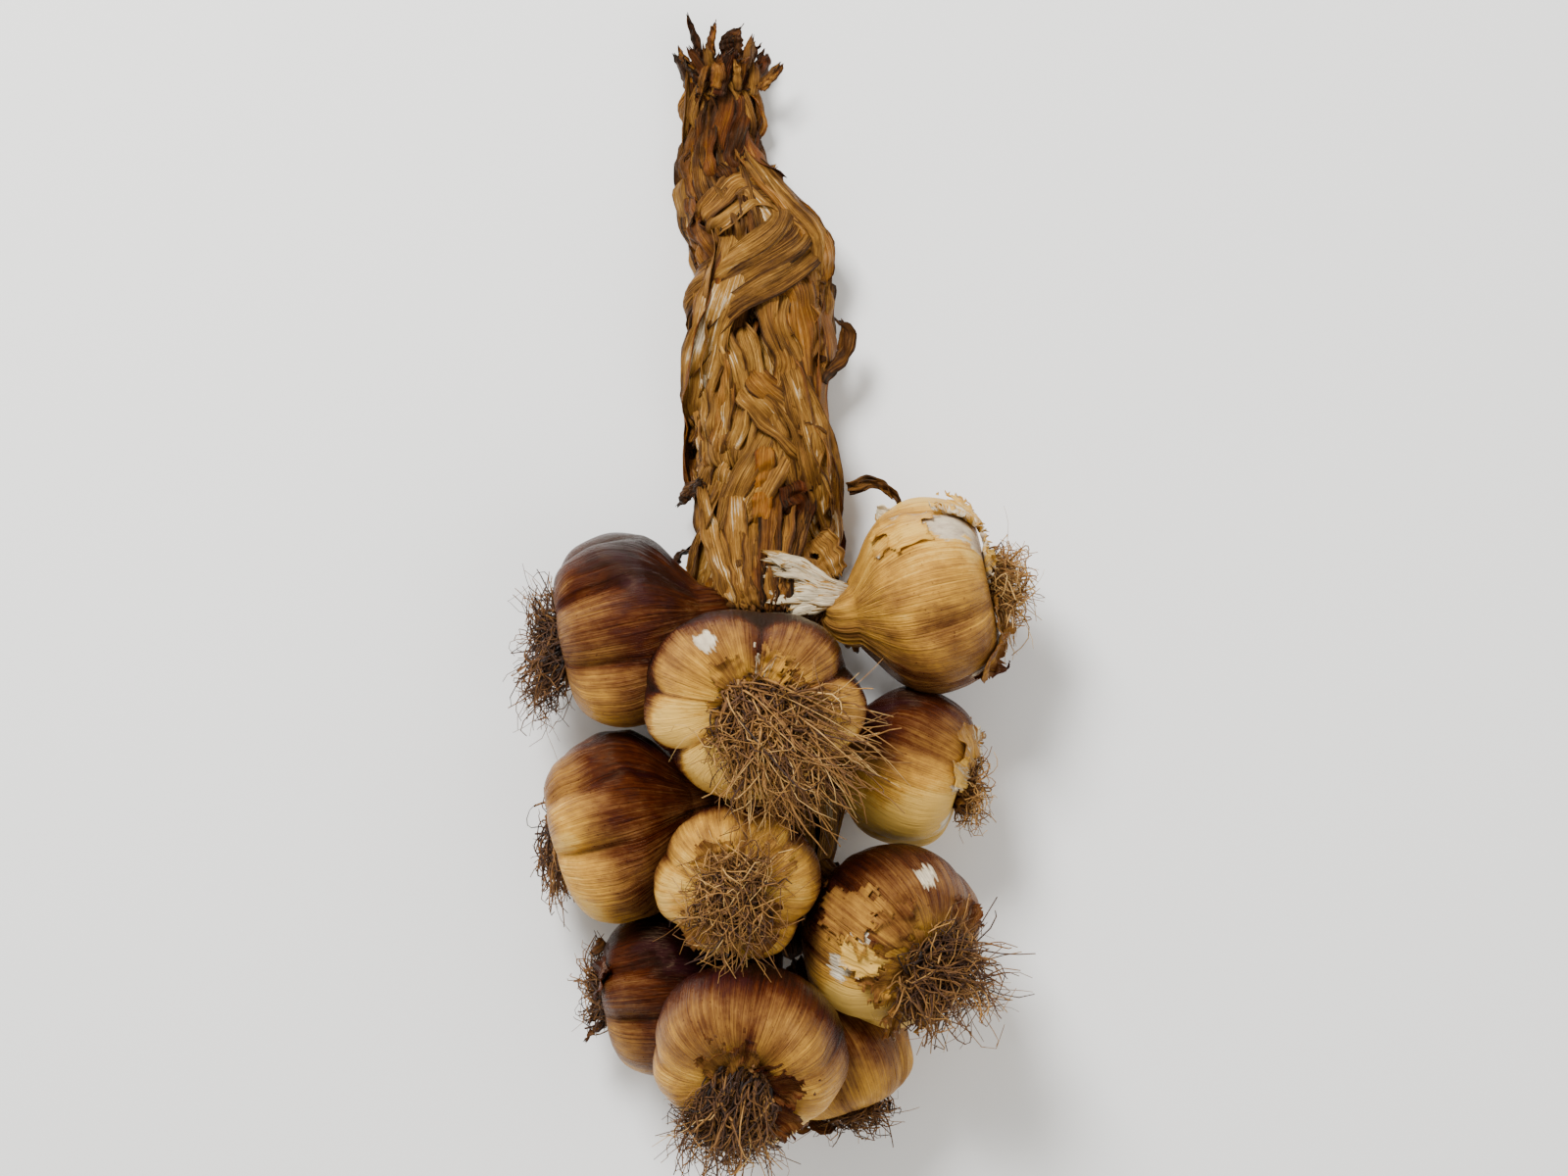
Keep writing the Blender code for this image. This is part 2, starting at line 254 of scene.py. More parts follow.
# sizes in mm across the ribs: about 1.5, 0.5, 11 and 0.9
RIB, VEIN, BLOTCH, FLECK = (BULB_RADIUS / share for share in (21, 62, 2.8, 34))


def skin_material():
    """Papery garlic skin: tone plus ribs, veins and blotches picks a colour from cream to black-brown.
    The ribs also raise the surface a little, and the most smoked skin is the glossiest. Where bare is
    high the outer skin is gone, up to an edge made ragged by the ribs and the blotches."""
    material, node, finish = new_material("papery smoked garlic skin")
    ribs = grain_noise(node, BULB_RADIUS, RIB, (1, 1, 0.045), 4.0, 0.6)
    veins = grain_noise(node, BULB_RADIUS, VEIN, (1, 1, 0.02), 4.0, 0.65)
    blotch = grain_noise(node, BULB_RADIUS, BLOTCH, (1, 1, 0.8), 7.0, 0.66)
    fleck = node("MapRange", grain_noise(node, BULB_RADIUS, FLECK, (1, 1, 0.9), 2.0), 0.66, 0.74, **SMOOTH)
    tone = node("Attribute", attribute_name="tone", out="Fac")
    smoked = vary(node, tone, (ribs, 0.36), (veins, 0.6), (blotch, 0.9))
    smoked = node("Clamp", node("Math", fleck, 0.2, smoked, **TIMES_PLUS))
    colour = node("ValToRGB", smoked, stops=SMOKED_SKIN)
    bloom = node("Math", node("MapRange", blotch, 0.5, 0.66, **SMOOTH),
                 node("MapRange", smoked, 0.5, 0.85, **SMOOTH), **TIMES)
    colour = node("Mix", node("Math", bloom, 0.35, **TIMES), at={A: colour, B: linear(PURPLE_BLOOM)}, **BLEND)
    bare = node("Attribute", attribute_name="bare", out="Fac")
    gone = vary(node, bare, (ribs, 0.9), (blotch, 1.6))
    under = node("ValToRGB", blotch, stops=UNDER_SKIN)
    colour = node("Mix", node("MapRange", gone, 0.56, 0.62, **SMOOTH), at={A: colour, B: under}, **BLEND)
    rim = node("Math", node("MapRange", gone, 0.48, 0.56, **SMOOTH),
               node("MapRange", gone, 0.64, 0.57, **SMOOTH), **TIMES)
    colour = node("Mix", node("Math", rim, 0.6, **TIMES), at={A: colour, B: linear(TORN_RIM)}, **BLEND)
    height = node("Math", veins, 0.6, ribs, **TIMES_PLUS)
    height = node("Math", node("MapRange", gone, 0.52, 0.6, **SMOOTH), -0.3, height, **TIMES_PLUS)
    finish({
        "Base Color": colour,
        "Roughness": node("Math", smoked, -0.17, 0.37, **TIMES_PLUS),
        "Normal": node("Bump", Strength=0.9, Distance=0.0011, Height=height),
        "Specular Tint": linear("E2B98C"),
        "Specular IOR Level": 0.19,
    })
    return material


# %% Dry roots

ROOT_COLOURS = ((0.0, "190A04"), (0.25, "3F210A"), (0.5, "6F4719"), (0.75, "9C6D2E"), (1.0, "C79F5E"))


def root_material():
    """Dry roots, matt and brittle: each has its own tone, with darker and paler stretches along it. A
    root is about 30 mm long over 9 steps of grain."""
    material, node, finish = new_material("dry garlic roots")
    speck = grain_noise(node, 3.3, 1.1, (1, 1, 1), 3.0)
    tone = vary(node, node("Attribute", attribute_name="tone", out="Fac"), (speck, 0.5))
    finish({"Base Color": node("ValToRGB", tone, stops=ROOT_COLOURS), "Roughness": 0.75})
    return material


# %% Dried leaf

LEAF_COLOURS = ((0.0, "150904"), (0.2, "3B200F"), (0.4, "5E3C18"), (0.6, "865B25"), (0.8, "A97935"),
                (0.93, "C3954D"), (1.0, "EBD9B4"))
RED_LEAF_COLOURS = ((0.0, "1C0807"), (0.5, "64290A"), (1.0, "B07020"))
# in mm across the leaf: 2.2 broad veins and 6 fine ones to the mm, and a stain every 2 mm
BROAD_VEIN, FINE_VEIN, STAIN = 1 / 2.2, 1 / 6, 2.0


def leaf_material():
    """Dried leaf, smooth but not polished: each has its own tone, from black-brown over ochre to straw,
    with veins that run lengthwise and stains across them. Its grain is in mm. A share red of its colour
    comes from a redder range, where the stains are."""
    material, node, finish = new_material("dried garlic leaf")
    veins = grain_noise(node, 1.0, BROAD_VEIN, (1, 0.2, 0.02), 4.0, 0.6)
    fine = grain_noise(node, 1.0, FINE_VEIN, (1, 0.2, 0.01), 2.0)
    stain = grain_noise(node, 1.0, STAIN, (0.35, 1, 0.14), 6.0, 0.66)
    tone = node("Attribute", attribute_name="tone", out="Fac")
    tone = vary(node, tone, (stain, 1.5), (veins, 1.05), (fine, 0.75))
    red = node("Math", node("Attribute", attribute_name="red", out="Fac"),
               node("MapRange", stain, 0.35, 0.6, **SMOOTH), **TIMES)
    colour = node("Mix", red, at={A: node("ValToRGB", tone, stops=LEAF_COLOURS),
                                  B: node("ValToRGB", tone, stops=RED_LEAF_COLOURS)}, **BLEND)
    height = node("Math", fine, 0.5, veins, **TIMES_PLUS)
    finish({
        "Base Color": colour,
        "Roughness": 0.44,
        "Normal": node("Bump", Strength=1.0, Distance=0.0017, Height=height),
        "Specular Tint": linear("EAD2AE"),
        "Specular IOR Level": 0.3,
    })
    return material


skin, root, leaf = skin_material(), root_material(), leaf_material()
print("materials:", [m.name for m in (skin, root, leaf)])

# %% [markdown]
# ## The bulbs
#
# A bulb is a surface of revolution whose radius is pressed in between the cloves, carried up its own
# axis and then along the bent neck. It could be sculpted, but a formula gives every bulb the same
# anatomy: a sunken root plate, cloves of uneven widths, shoulders that rise to different heights and
# pleats that gather at the neck. The table holds what differs from bulb to bulb. Each bulb is fitted to
# the box of its own solid, so its place and size come from the frame.

# %% Bulb shapes

# share of the radius and of the height, from the root plate to the shoulder
OUTLINE = ((0.00, 0.09), (0.17, 0.07), (0.36, 0.00), (0.66, 0.01), (0.90, 0.14), (1.00, 0.36),
           (0.95, 0.57), (0.76, 0.76), (0.50, 0.90), (0.31, 1.00))
WAIST, NECK_R, BODY = 0.42, 4.6, 0.80

# roots: way the root plate faces; neck: from the middle to the neck's end; tone: smoke everywhere,
# extra smoke at the neck, and painted shade in the creases between cloves; then the way in which the
# skin gets darker, and by how much, partly smoke and partly painted shade, which leaves painted light
# on the opposite side; bare: places where the outer skin has peeled off, as (way from the middle, size
# as a share of the radius)
BULBS = {
    "upper_left": dict(
        roots=(-1, -0.20, -0.06), across=63, height=42, oval=0.98, cloves=6, turn=302, lobe=0.26,
        neck=(26, 7, -7.2), tone=(0.50, 0.18, 0.16), smoke_and_shade_side=(0.16, 0.26, 0)),
    "upper_front": dict(
        roots=(0.05, -0.08, 1), across=66, height=43, oval=0.88, cloves=5, turn=192, lobe=0.22,
        neck=(0.5, 35, -30), tone=(0.09, 1.0, 0.38), smoke_and_shade_side=(0.08, 0.42, 0),
        bare=(((-0.47, 0.62, 0.65), 0.12), ((0.1, 0.3, 1), 0.08))),
    "upper_right": dict(
        roots=(0.96, 0.22, 0.06), across=62, height=43, oval=1.0, cloves=6, turn=5, lobe=0.14,
        neck=(-35, -0.5, -8.2), tone=(0.30, 0.0, 0.12), smoke_and_shade_side=(0.05, -0.18, -0.05),
        bare=(((0.15, 0.75, 0.65), 0.30), ((0.55, 0.55, 0.65), 0.2), ((0.5, -0.75, 0.3), 0.12))),
    "mid_right": dict(
        roots=(0.90, -0.32, 0.10), across=51, height=39, oval=1.0, cloves=5, turn=40, lobe=0.15,
        neck=(-26.5, 6.5, -3.8), tone=(-0.03, 0.36, 0.14), smoke_and_shade_side=(-0.18, 0.72, 0),
        bare=(((0.7, -0.15, 0.75), 0.2), ((0.45, -0.7, 0.5), 0.12))),
    "mid_left": dict(
        roots=(-0.95, -0.26, -0.12), across=62, height=42, oval=1.0, cloves=6, turn=114, lobe=0.24,
        neck=(27.5, 8.5, -7.6), tone=(0.21, 0.46, 0.16), smoke_and_shade_side=(0.18, 0.20, 0)),
    "mid_front": dict(
        roots=(-0.02, -0.14, 1), across=49, height=38, oval=0.97, cloves=6, turn=10, lobe=0.14,
        neck=(8, 19, -27.5), tone=(0.15, 0.6, 0.26), smoke_and_shade_side=(0.06, 0.06, 0)),
    "lower_right": dict(
        roots=(0.52, -0.40, 0.62), across=57, height=44, oval=1.0, cloves=6, turn=30, lobe=0.11,
        neck=(-22.5, 20, -23), tone=(0.13, 0.34, 0.16), smoke_and_shade_side=(0.0, 0.42, 0),
        bare=(((0.35, 0.65, 0.65), 0.1), ((-0.62, -0.3, 0.75), 0.12), ((-0.3, 0.0, 1), 0.06))),
    "lower_left": dict(
        roots=(-0.96, -0.12, -0.16), across=54, height=38, oval=0.97, cloves=5, turn=250, lobe=0.22,
        neck=(22, 13, -7.3), tone=(0.56, 0.2, 0.12), smoke_and_shade_side=(0.0, 0.36, 0)),
    "bottom_front": dict(
        roots=(-0.14, -0.50, 0.84), across=60, height=42, oval=0.95, cloves=5, turn=55, lobe=0.11,
        neck=(5, 29, -37), tone=(0.21, 0.5, 0.12), smoke_and_shade_side=(0.0, 0.36, 0)),
    "bottom_right": dict(
        roots=(0.36, -0.92, -0.12), across=48, height=38, oval=1.0, cloves=5, turn=15, lobe=0.15,
        neck=(-11, 27, -4.4), tone=(0.23, 0.3, 0.14), smoke_and_shade_side=(0, 0.12, 0)),
}


def clove_edges(bulb):
    """Angles of the creases between a bulb's cloves, whose widths differ."""
    widths = 1 + 0.38 * np.sin(2.4 * np.arange(bulb["cloves"]) + bulb["turn"])
    return np.concatenate([[0], np.cumsum(widths)]) / widths.sum() * TAU + math.radians(bulb["turn"])


def bulb_surface(bulb, rows, cols, seed):
    """Points of a bulb's skin about its own middle, with what the material needs. t runs from the
    root plate (0) to the neck's end (1), and share counts cloves round the bulb. The radius is the
    outline's, less a crease between cloves whose depth follows the outline, plus a few soft dents,
    ribs that run lengthwise, and pleats that deepen up the neck."""
    at_plate = rows // 8
    t = np.concatenate([np.linspace(0, 0.1, at_plate, endpoint=False), np.linspace(0.1, 1, rows - at_plate)])
    t = t[:, None]
    turn = (np.arange(cols) / cols * TAU)[None, :]
    share = turn / TAU * bulb["cloves"]
    which = np.floor(share).astype(int)
    angle = np.interp(share, np.arange(bulb["cloves"] + 1), clove_edges(bulb)) + 0 * t
    outline = smooth_through(OUTLINE, np.clip(t / BODY, 0, 1))
    share_r, share_h = outline[..., 0], outline[..., 1]
    radius, height = bulb["across"] / 2, bulb["height"]
    fullness = 0.84 + 0.3 * np.cos(1.9 * which + bulb["turn"])
    bulge = fullness * (1 - np.abs(2 * (share % 1) - 1) ** 2.3)
    depth = bulb["lobe"] * np.clip(np.sin(np.clip(share_h * 1.15 + 0.22, 0, 1) * math.pi), 0, 1)
    depth = depth * np.clip(share_r * 2.2, 0, 1)
    across = radius * share_r * (1 - depth + depth * bulge)
    up_neck = np.clip((t - BODY) / (1 - BODY), 0, 1)
    shoulder = step(share_h, 0.55, 1.0)
    dents = (ripple(seed, turn, t * 5, (1, 2, 3), 0.8) * 0.014
             + ripple(seed + 7, turn, t * 14, (4, 5, 7), 0.5) * 0.009) * radius
    ribs = ripple(seed + 1, turn, t, (19, 23, 29, 31), 0.02) * (0.08 + 0.12 * shoulder)
    pleats = ripple(seed + 2, turn, t, (9, 11, 13, 14), 0.03) * (0.5 * up_neck + 0.2) * shoulder
    neck = NECK_R + (0.31 * radius - NECK_R) * np.cos(np.clip(up_neck * 1.6, 0, 1) * math.pi / 2)
    closing = np.sqrt(1 - np.clip((t - 0.97) / 0.03, 0, 1) ** 2)
    across = np.where(t > BODY, neck * closing, across)
    fine = np.clip(share_r * 3, 0, 1) * closing
    across = across + (dents * step(share_r, 0.3, 0.7) + ribs + pleats) * fine
    uneven = 0.022 * np.cos(2.3 * which + seed) * (1 - np.abs(2 * (share % 1) - 1) ** 2)
    share_h = share_h + uneven * step(t, 0.3, 0.55) * (1 - up_neck)
    up = -unit(bulb["roots"])
    start = up * (1 - WAIST) * height
    tip = np.array(bulb["neck"], float)
    bend = start + up * 0.42 * np.linalg.norm(tip - start)
    s = up_neck[..., None]
    on_neck = (t > BODY)[..., None]
    line = np.where(on_neck, (1 - s) ** 2 * start + 2 * s * (1 - s) * bend + s ** 2 * tip,
                    up * ((share_h - WAIST) * height)[..., None])
    slope = np.where(on_neck, unit(2 * (1 - s) * (bend - start) + 2 * s * (tip - bend)), up)
    side = unit(np.cross(up, [0.13, 0.21, 0.97] if abs(up[2]) < 0.8 else [1.0, 0.1, 0.0]))
    side = unit(side - slope * (slope @ side)[..., None])
    other = np.cross(slope, side)
    ring = bulb["oval"] * np.cos(angle)[..., None] * side + np.sin(angle)[..., None] * other
    points = line + ring * across[..., None]
    away = unit(points)
    bare = np.zeros(points.shape[:2])
    for way, size in bulb.get("bare", ()):
        inside = size - np.linalg.norm(away - unit(way), axis=-1)
        bare = np.maximum(bare, np.clip(0.5 + inside / 0.36, 0, 1))
    # tone: smoke, more smoke at the neck, painted shade in the creases between cloves, and one side darker
    # and the other paler, partly smoke and partly painted shade and light
    base, at_neck, crease = bulb["tone"]
    inward = 1 - bulge / np.maximum(fullness, 0.1)
    tone = (base + at_neck * step(share_h, 0.12, 0.58) + crease * inward ** 4 * step(share_r, 0.25, 0.5)
            + (ring @ np.array(bulb["smoke_and_shade_side"], float)) * step(share_r, 0.2, 0.8)
            + 0.05 * ripple(seed + 3, turn, t * 4, (1, 2, 3, 5)))
    grain = together(np.cos(angle), np.sin(angle), t * 3.2 + seed)
    return points, tone, bare, grain


# %% Fit the bulbs to their solids


def fit(points, node):
    """Stretches and moves points so that their box is the node's. Returns them with the stretch and
    the move, so that what belongs to them can follow."""
    low, high = box_of(node)
    raw_low, raw_high = points.reshape(-1, 3).min(0), points.reshape(-1, 3).max(0)
    stretch = (high - low) / (raw_high - raw_low)
    move = low - raw_low * stretch
    return points * stretch + move, stretch, move


DARK_SKINS = ("upper_left", "mid_right", "mid_left", "lower_left")
placed = {}
for seed, (name, bulb) in enumerate(BULBS.items()):
    rows, cols = ((80, 140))
    points, tone, bare, grain = bulb_surface(bulb, rows, cols, seed * 10)
    points, stretch, move = fit(points, "bulb_" + name)
    points[..., 2] = np.maximum(points[..., 2], 0.0)
    write_mesh("skin_" + name, points, [grid_faces(rows, cols, True)], skin,
               "skin_smoked" if name in DARK_SKINS else "skin_pale", ["bulb_" + name],
               tone=tone.ravel(), grain=grain.reshape(-1, 3), bare=bare.ravel())
    plate = points[0].mean(0)
    placed[name] = dict(middle=move, plate=plate, axis=unit(plate - move), radius=bulb["across"] / 2,
                        height=bulb["height"], stretch=stretch, seed=seed * 10, tip=points[-1].mean(0))
    print(f"{name}: stretch {np.round(stretch, 3)}, root plate at {np.round(plate, 1)}")

# %% [markdown]
# ## Peeling skin
#
# The outer skin is brittle and has torn round many root plates, where it stands off the bulb and curls.
# A torn scrap is cut out of the bulb's own surface, worked out again more finely, so it lies exactly over
# the skin below it. Noise makes its edge ragged, and the further a point is from its middle the more it
# curls away.

# %% Peeling skin


def peel(name, way, size, curl, tone, bare, seed):
    """A torn scrap of a bulb's skin round the direction way, size being its radius as a share of
    the bulb's: the part of the surface that is nearer than a ragged limit, lifted off along its
    normals by a little, and by up to curl at its edge on one side."""
    bulb, place = BULBS[name], placed[name]
    rows, cols = 150, 250
    points, base, _, grain = bulb_surface(bulb, rows, cols, place["seed"])
    points = points * place["stretch"] + place["middle"]
    away = unit(points - place["middle"])
    ragged = speckle(seed, points, (16, 9, 5, 2.8)) * 0.3 * size
    far = (np.linalg.norm(away - unit(way), axis=-1) + ragged) / size
    normal = unit(np.cross(np.roll(points, -1, 1) - np.roll(points, 1, 1), np.gradient(points, axis=0)))
    normal = normal * np.sign(np.sum(normal * away, -1, keepdims=True))
    side = 0.7 + 0.5 * speckle(seed + 1, points, (14,))
    lift = 0.4 + 0.3 * speckle(seed + 2, points, (6, 4)) * far + curl * side * np.clip(far, 0, 1) ** 3
    points = points + normal * lift[..., None]
    points[..., 2] = np.maximum(points[..., 2], 0.3)
    faces = grid_faces(rows, cols, True)
    faces = faces[(far.ravel()[faces] < 1).all(1)]
    kept, faces = np.unique(faces, return_inverse=True)
    count = len(kept)
    edge = step(far.ravel()[kept], 0.7, 1.0) * 0.12
    scrap = write_mesh(f"peel_{name}_{seed}", points.reshape(-1, 3)[kept], [faces.reshape(-1, 4)], skin,
                       "skin_pale", tone=tone + 0.4 * (base.ravel()[kept] - 0.4) + edge,
                       bare=np.full(count, bare), grain=grain.reshape(-1, 3)[kept])
    thicken(scrap, 0.15)
    return count


# for each bulb its scraps: way from the bulb's middle, size, curl in mm, tone, how bare
PEELS = {
    "upper_front": (
        ((-0.25, 0.35, 1), 0.24, 3.2, 0.38, 0.15), ((0.3, 0.4, 1), 0.30, 3.6, 0.24, 0.3),
        ((0.62, 0.1, 0.9), 0.24, 3.0, 0.45, 0.0), ((-0.5, -0.1, 1), 0.16, 2.5, 0.4, 0.1)),
    "upper_right": (
        ((0.8, 0.5, 0.5), 0.34, 4.0, 0.12, 0.6), ((0.9, -0.25, 0.5), 0.30, 4.0, 0.35, 0.3),
        ((0.35, 0.95, 0.35), 0.28, 3.4, 0.2, 0.5), ((0.75, -0.7, 0.4), 0.26, 3.6, 0.45, 0.1),
        ((-0.35, 0.7, 0.7), 0.30, 1.6, 0.2, 0.3)),
    "mid_right": (
        ((0.8, 0.35, 0.6), 0.28, 3.0, 0.25, 0.4), ((0.8, -0.5, 0.4), 0.26, 3.4, 0.5, 0.0),
        ((0.7, -0.1, 0.9), 0.22, 2.4, 0.1, 0.4)),
    "lower_right": (
        ((0.05, 0.15, 1), 0.30, 2.6, 0.42, 0.1), ((0.0, -0.5, 0.9), 0.34, 4.2, 0.46, 0.1),
        ((0.5, -0.9, 0.3), 0.30, 4.6, 0.55, 0.0), ((0.9, 0.25, 0.5), 0.26, 3.0, 0.45, 0.2),
        ((-0.5, 0.4, 0.9), 0.36, 1.4, 0.3, 0.1), ((0.2, -0.95, 0.6), 0.26, 5.0, 0.5, 0.2),
        ((-0.4, -0.2, 1), 0.22, 2.2, 0.1, 0.35)),
    "mid_front": (
        ((-0.4, 0.4, 1), 0.28, 3.0, 0.42, 0.0), ((0.5, 0.3, 0.95), 0.28, 3.0, 0.35, 0.2),
        ((0.35, -0.65, 0.9), 0.30, 3.4, 0.5, 0.0), ((-0.55, -0.6, 0.8), 0.26, 3.0, 0.4, 0.1)),
    "bottom_front": (
        ((-0.42, -0.05, 1), 0.28, 3.6, 0.45, 0.2), ((0.0, -0.02, 1), 0.28, 4.0, 0.48, 0.15),
        ((0.38, -0.4, 0.9), 0.34, 4.0, 0.62, 0.0), ((0.35, -0.8, 0.6), 0.30, 3.6, 0.7, 0.0)),
    "lower_left": (
        ((-0.8, 0.3, 0.6), 0.24, 2.6, 0.6, 0.0),),
    "upper_left": (
        ((0.75, -0.3, 0.7), 0.2, 3.2, 0.5, 0.1),),
}
scraps = [(name, *scrap) for name, group in PEELS.items() for scrap in group]
counts = [peel(*scrap, seed) for seed, scrap in enumerate(scraps)]
print(len(counts), "scraps of peeling skin,", sum(counts), "points")

# %% [markdown]
# ## The roots
#
# A tuft is hundreds of dry roots that leave the root plate together and curl over the bulb. Each is a
# thin tapered tube with three sides, since it is under a millimetre thick. They could be particles or
# hair, but those are lost when the model is exported, so all the roots of a tuft are one joined mesh.

# %% Tubes along many paths at once


def tubes(paths, thick, sides=3):
    """Tubes along paths, an array (roots, steps, 3), with thick as (roots, steps). Rings stand square
    to each path; a path's sideways direction is fixed once, so a ring turns little along it."""
    n, m, _ = paths.shape
    slope = unit(np.gradient(paths, axis=1))
    first = unit(np.cross(slope, unit(rng.normal(size=(n, 1, 3)))))
    second = np.cross(slope, first)
    a = np.arange(sides) / sides * TAU
    rings = paths[:, :, None] + thick[..., None, None] * (
        np.cos(a)[:, None] * first[:, :, None] + np.sin(a)[:, None] * second[:, :, None])
    base = (np.arange(n) * m * sides)[:, None, None]
    quads = (base + grid_faces(m, sides, True)[None]).reshape(-1, 4)
    low = (base[:, 0] + np.arange(sides)[::-1])
    high = (base[:, 0] + (m - 1) * sides + np.arange(sides))
    return rings.reshape(-1, 3), [quads, low, high]


LOCKS = 14  # bunches of roots that curl alike in a tuft


def root_paths(bulb, node, count, steps, curl, reach, spill):
    """Middle lines of a tuft's roots. Each starts on the root plate, leaves along the bulb's axis and
    bends to an end inside the tuft's box, with curls that grow along it. Roots are kept just outside
    the bulb, whose root side is its outline turned about its axis."""
    low, high = box_of(node)
    middle, half = (low + high) / 2, (high - low) / 2
    axis = bulb["axis"]
    start = bulb["plate"] + unit(np.cross(axis, rng.normal(size=(count, 3)))) * (
        0.26 * bulb["radius"] * np.sqrt(rng.random((count, 1))))
    lock = rng.integers(0, LOCKS, count)
    way = unit(unit(rng.normal(size=(LOCKS, 3)))[lock] + 0.55 * rng.normal(size=(count, 3)))
    end = middle + way * half * (rng.random((count, 1)) ** 0.3) * reach
    wisp = (rng.random((count, 1)) < spill)
    end = np.where(wisp, end + way * half * rng.uniform(0.15, 0.45, (count, 1)), end)
    out = start + axis * rng.uniform(2, 7, (count, 1)) + (start - bulb["plate"]) * 0.5
    over = (out + end) / 2 + axis * rng.uniform(0, 5, (count, 1)) + rng.normal(size=(count, 3)) * 2.5
    s = np.linspace(0, 1, steps)[None, :, None]
    path = ((1 - s) ** 3 * start[:, None] + 3 * s * (1 - s) ** 2 * out[:, None]
            + 3 * s ** 2 * (1 - s) * over[:, None] + s ** 3 * end[:, None])
    for turns in (0.9, 2.1):
        swing = 0.7 * rng.normal(size=(LOCKS, 2, 3))[lock] + 0.6 * rng.normal(size=(count, 2, 3))
        f = TAU * turns * rng.uniform(0.7, 1.3, (count, 1, 1))
        wave = np.sin(f * s) * swing[:, :1] + np.sin(f * s * 1.3 + 1) * swing[:, 1:]
        path = path + curl / turns * s * wave
    away = path - bulb["middle"]
    along = away @ axis
    off = away - along[..., None] * axis
    r = np.linalg.norm(off, axis=-1)
    keys = np.array(OUTLINE[:6])
    surface = (WAIST - np.interp(r / bulb["radius"], keys[:, 0], keys[:, 1])) * bulb["height"]
    lift = np.maximum(surface + 0.5 + rng.random((count, 1)) * 1.5 - along, 0)
    lift = np.where(r < bulb["radius"], lift, 0) * step(s[..., 0], 0.0, 0.15)
    path = path + lift[..., None] * axis
    path[..., 2] = np.maximum(path[..., 2], 0.6)
    return path, wisp[:, 0]


# %% Root tufts

# count of roots, curl in mm, how far they fill the tuft's box, share that stray, tone, its spread, and
# thickness in mm
TUFTS = {
    "upper_left": (330, 2.4, 1.05, 0.08, 0.26, 0.14, 0.42),
    "upper_front": (560, 3.0, 1.2, 0.04, 0.50, 0.20, 0.46),
    "upper_right": (270, 2.4, 1.1, 0.07, 0.68, 0.16, 0.38),
    "mid_right": (200, 1.8, 1.05, 0.06, 0.55, 0.18, 0.38),
    "mid_left": (330, 1.4, 0.95, 0.03, 0.30, 0.15, 0.42),
    "mid_front": (380, 2.8, 1.15, 0.04, 0.48, 0.20, 0.42),
    "lower_right": (420, 3.0, 1.15, 0.08, 0.36, 0.19, 0.45),
    "lower_left": (220, 1.8, 1.0, 0.08, 0.28, 0.15, 0.40),
    "bottom_front": (360, 3.0, 1.15, 0.09, 0.34, 0.19, 0.46),
    "bottom_right": (200, 2.2, 1.05, 0.08, 0.34, 0.15, 0.40),
}
for name, (count, curl, reach, spill, tone, spread, thick) in TUFTS.items():
    count = count
    steps = 15
    paths, wisp = root_paths(placed[name], "roots_" + name, count, steps, curl, reach, spill)
    taper = np.interp(np.linspace(0, 1, steps), (0, 0.2, 1), (1.25, 1.0, 0.35))
    size = thick * rng.uniform(0.6, 1.25, (count, 1)) * np.where(wisp, 0.6, 1.0)[:, None]
    points, faces = tubes(paths, size * taper)
    own = np.clip(tone + spread * rng.normal(size=(count, 1, 1)) + 0.08 * wisp[:, None, None], 0.02, 0.98)
    own = own + 0.16 * np.linspace(-1, 1, steps)[None, :, None] + np.zeros((count, steps, 3))
    grain = together(np.arange(count)[:, None, None] * 3.7, np.linspace(0, 9, steps)[None, :, None],
                     np.zeros((1, 1, 3)))
    write_mesh("roots_" + name + "_strands", points, faces, root, "roots", ["roots_" + name],
               tone=own.ravel(), grain=grain.reshape(-1, 3))
    print(f"{name}: {count} roots")

# %% [markdown]
# ## The plait
#
# Each strand of the plait is a bundle of dried leaves, folded and twisted together. Underneath is a core of
# inner leaf with the strand's own shape, kept dark as painted shade in the gaps between the ribbons, and over
# it lie long ribbons: each follows the strand, turns slowly round it, is ribbed lengthwise and ends in a torn
# tip that lifts off. A strand swings from side to side as the sine of a phase that falls steadily along the
# plait, and over and under as the sine of twice that phase, as in the frame.

# %% Strands

TOP, END = 158.0, -112.0  # ends of the plait along y, all in mm
SWING, LIFT, REST = 12.6, 6.8, 11.0  # of a strand to the side and up, and its middle's height
WIDE, DEEP, LEAN = 7.2, 4.1, math.radians(24)  # half width and depth of a strand, and its tilt
REPEAT, FIRST_OVER, START = 226.0, 92.8, 210 / 360  # length of a turn, and where a turn starts
# y, and there the strands' share of their full size and the plait's middle
SCALE = ((160.0, 0.50), (130.0, 0.56), (108.0, 1.0), (-80.0, 0.98), (-112.0, 0.75))
MIDDLE = ((160.0, -17.5), (128.0, -16.5), (104.0, -6.5), (40.0, -5.5), (-112.0, -4.0))


def down(keys, y):
    """The value at y of a table of (y, value) that runs down the plait."""
    ys, values = zip(*keys[::-1])
    return np.interp(y, ys, values)


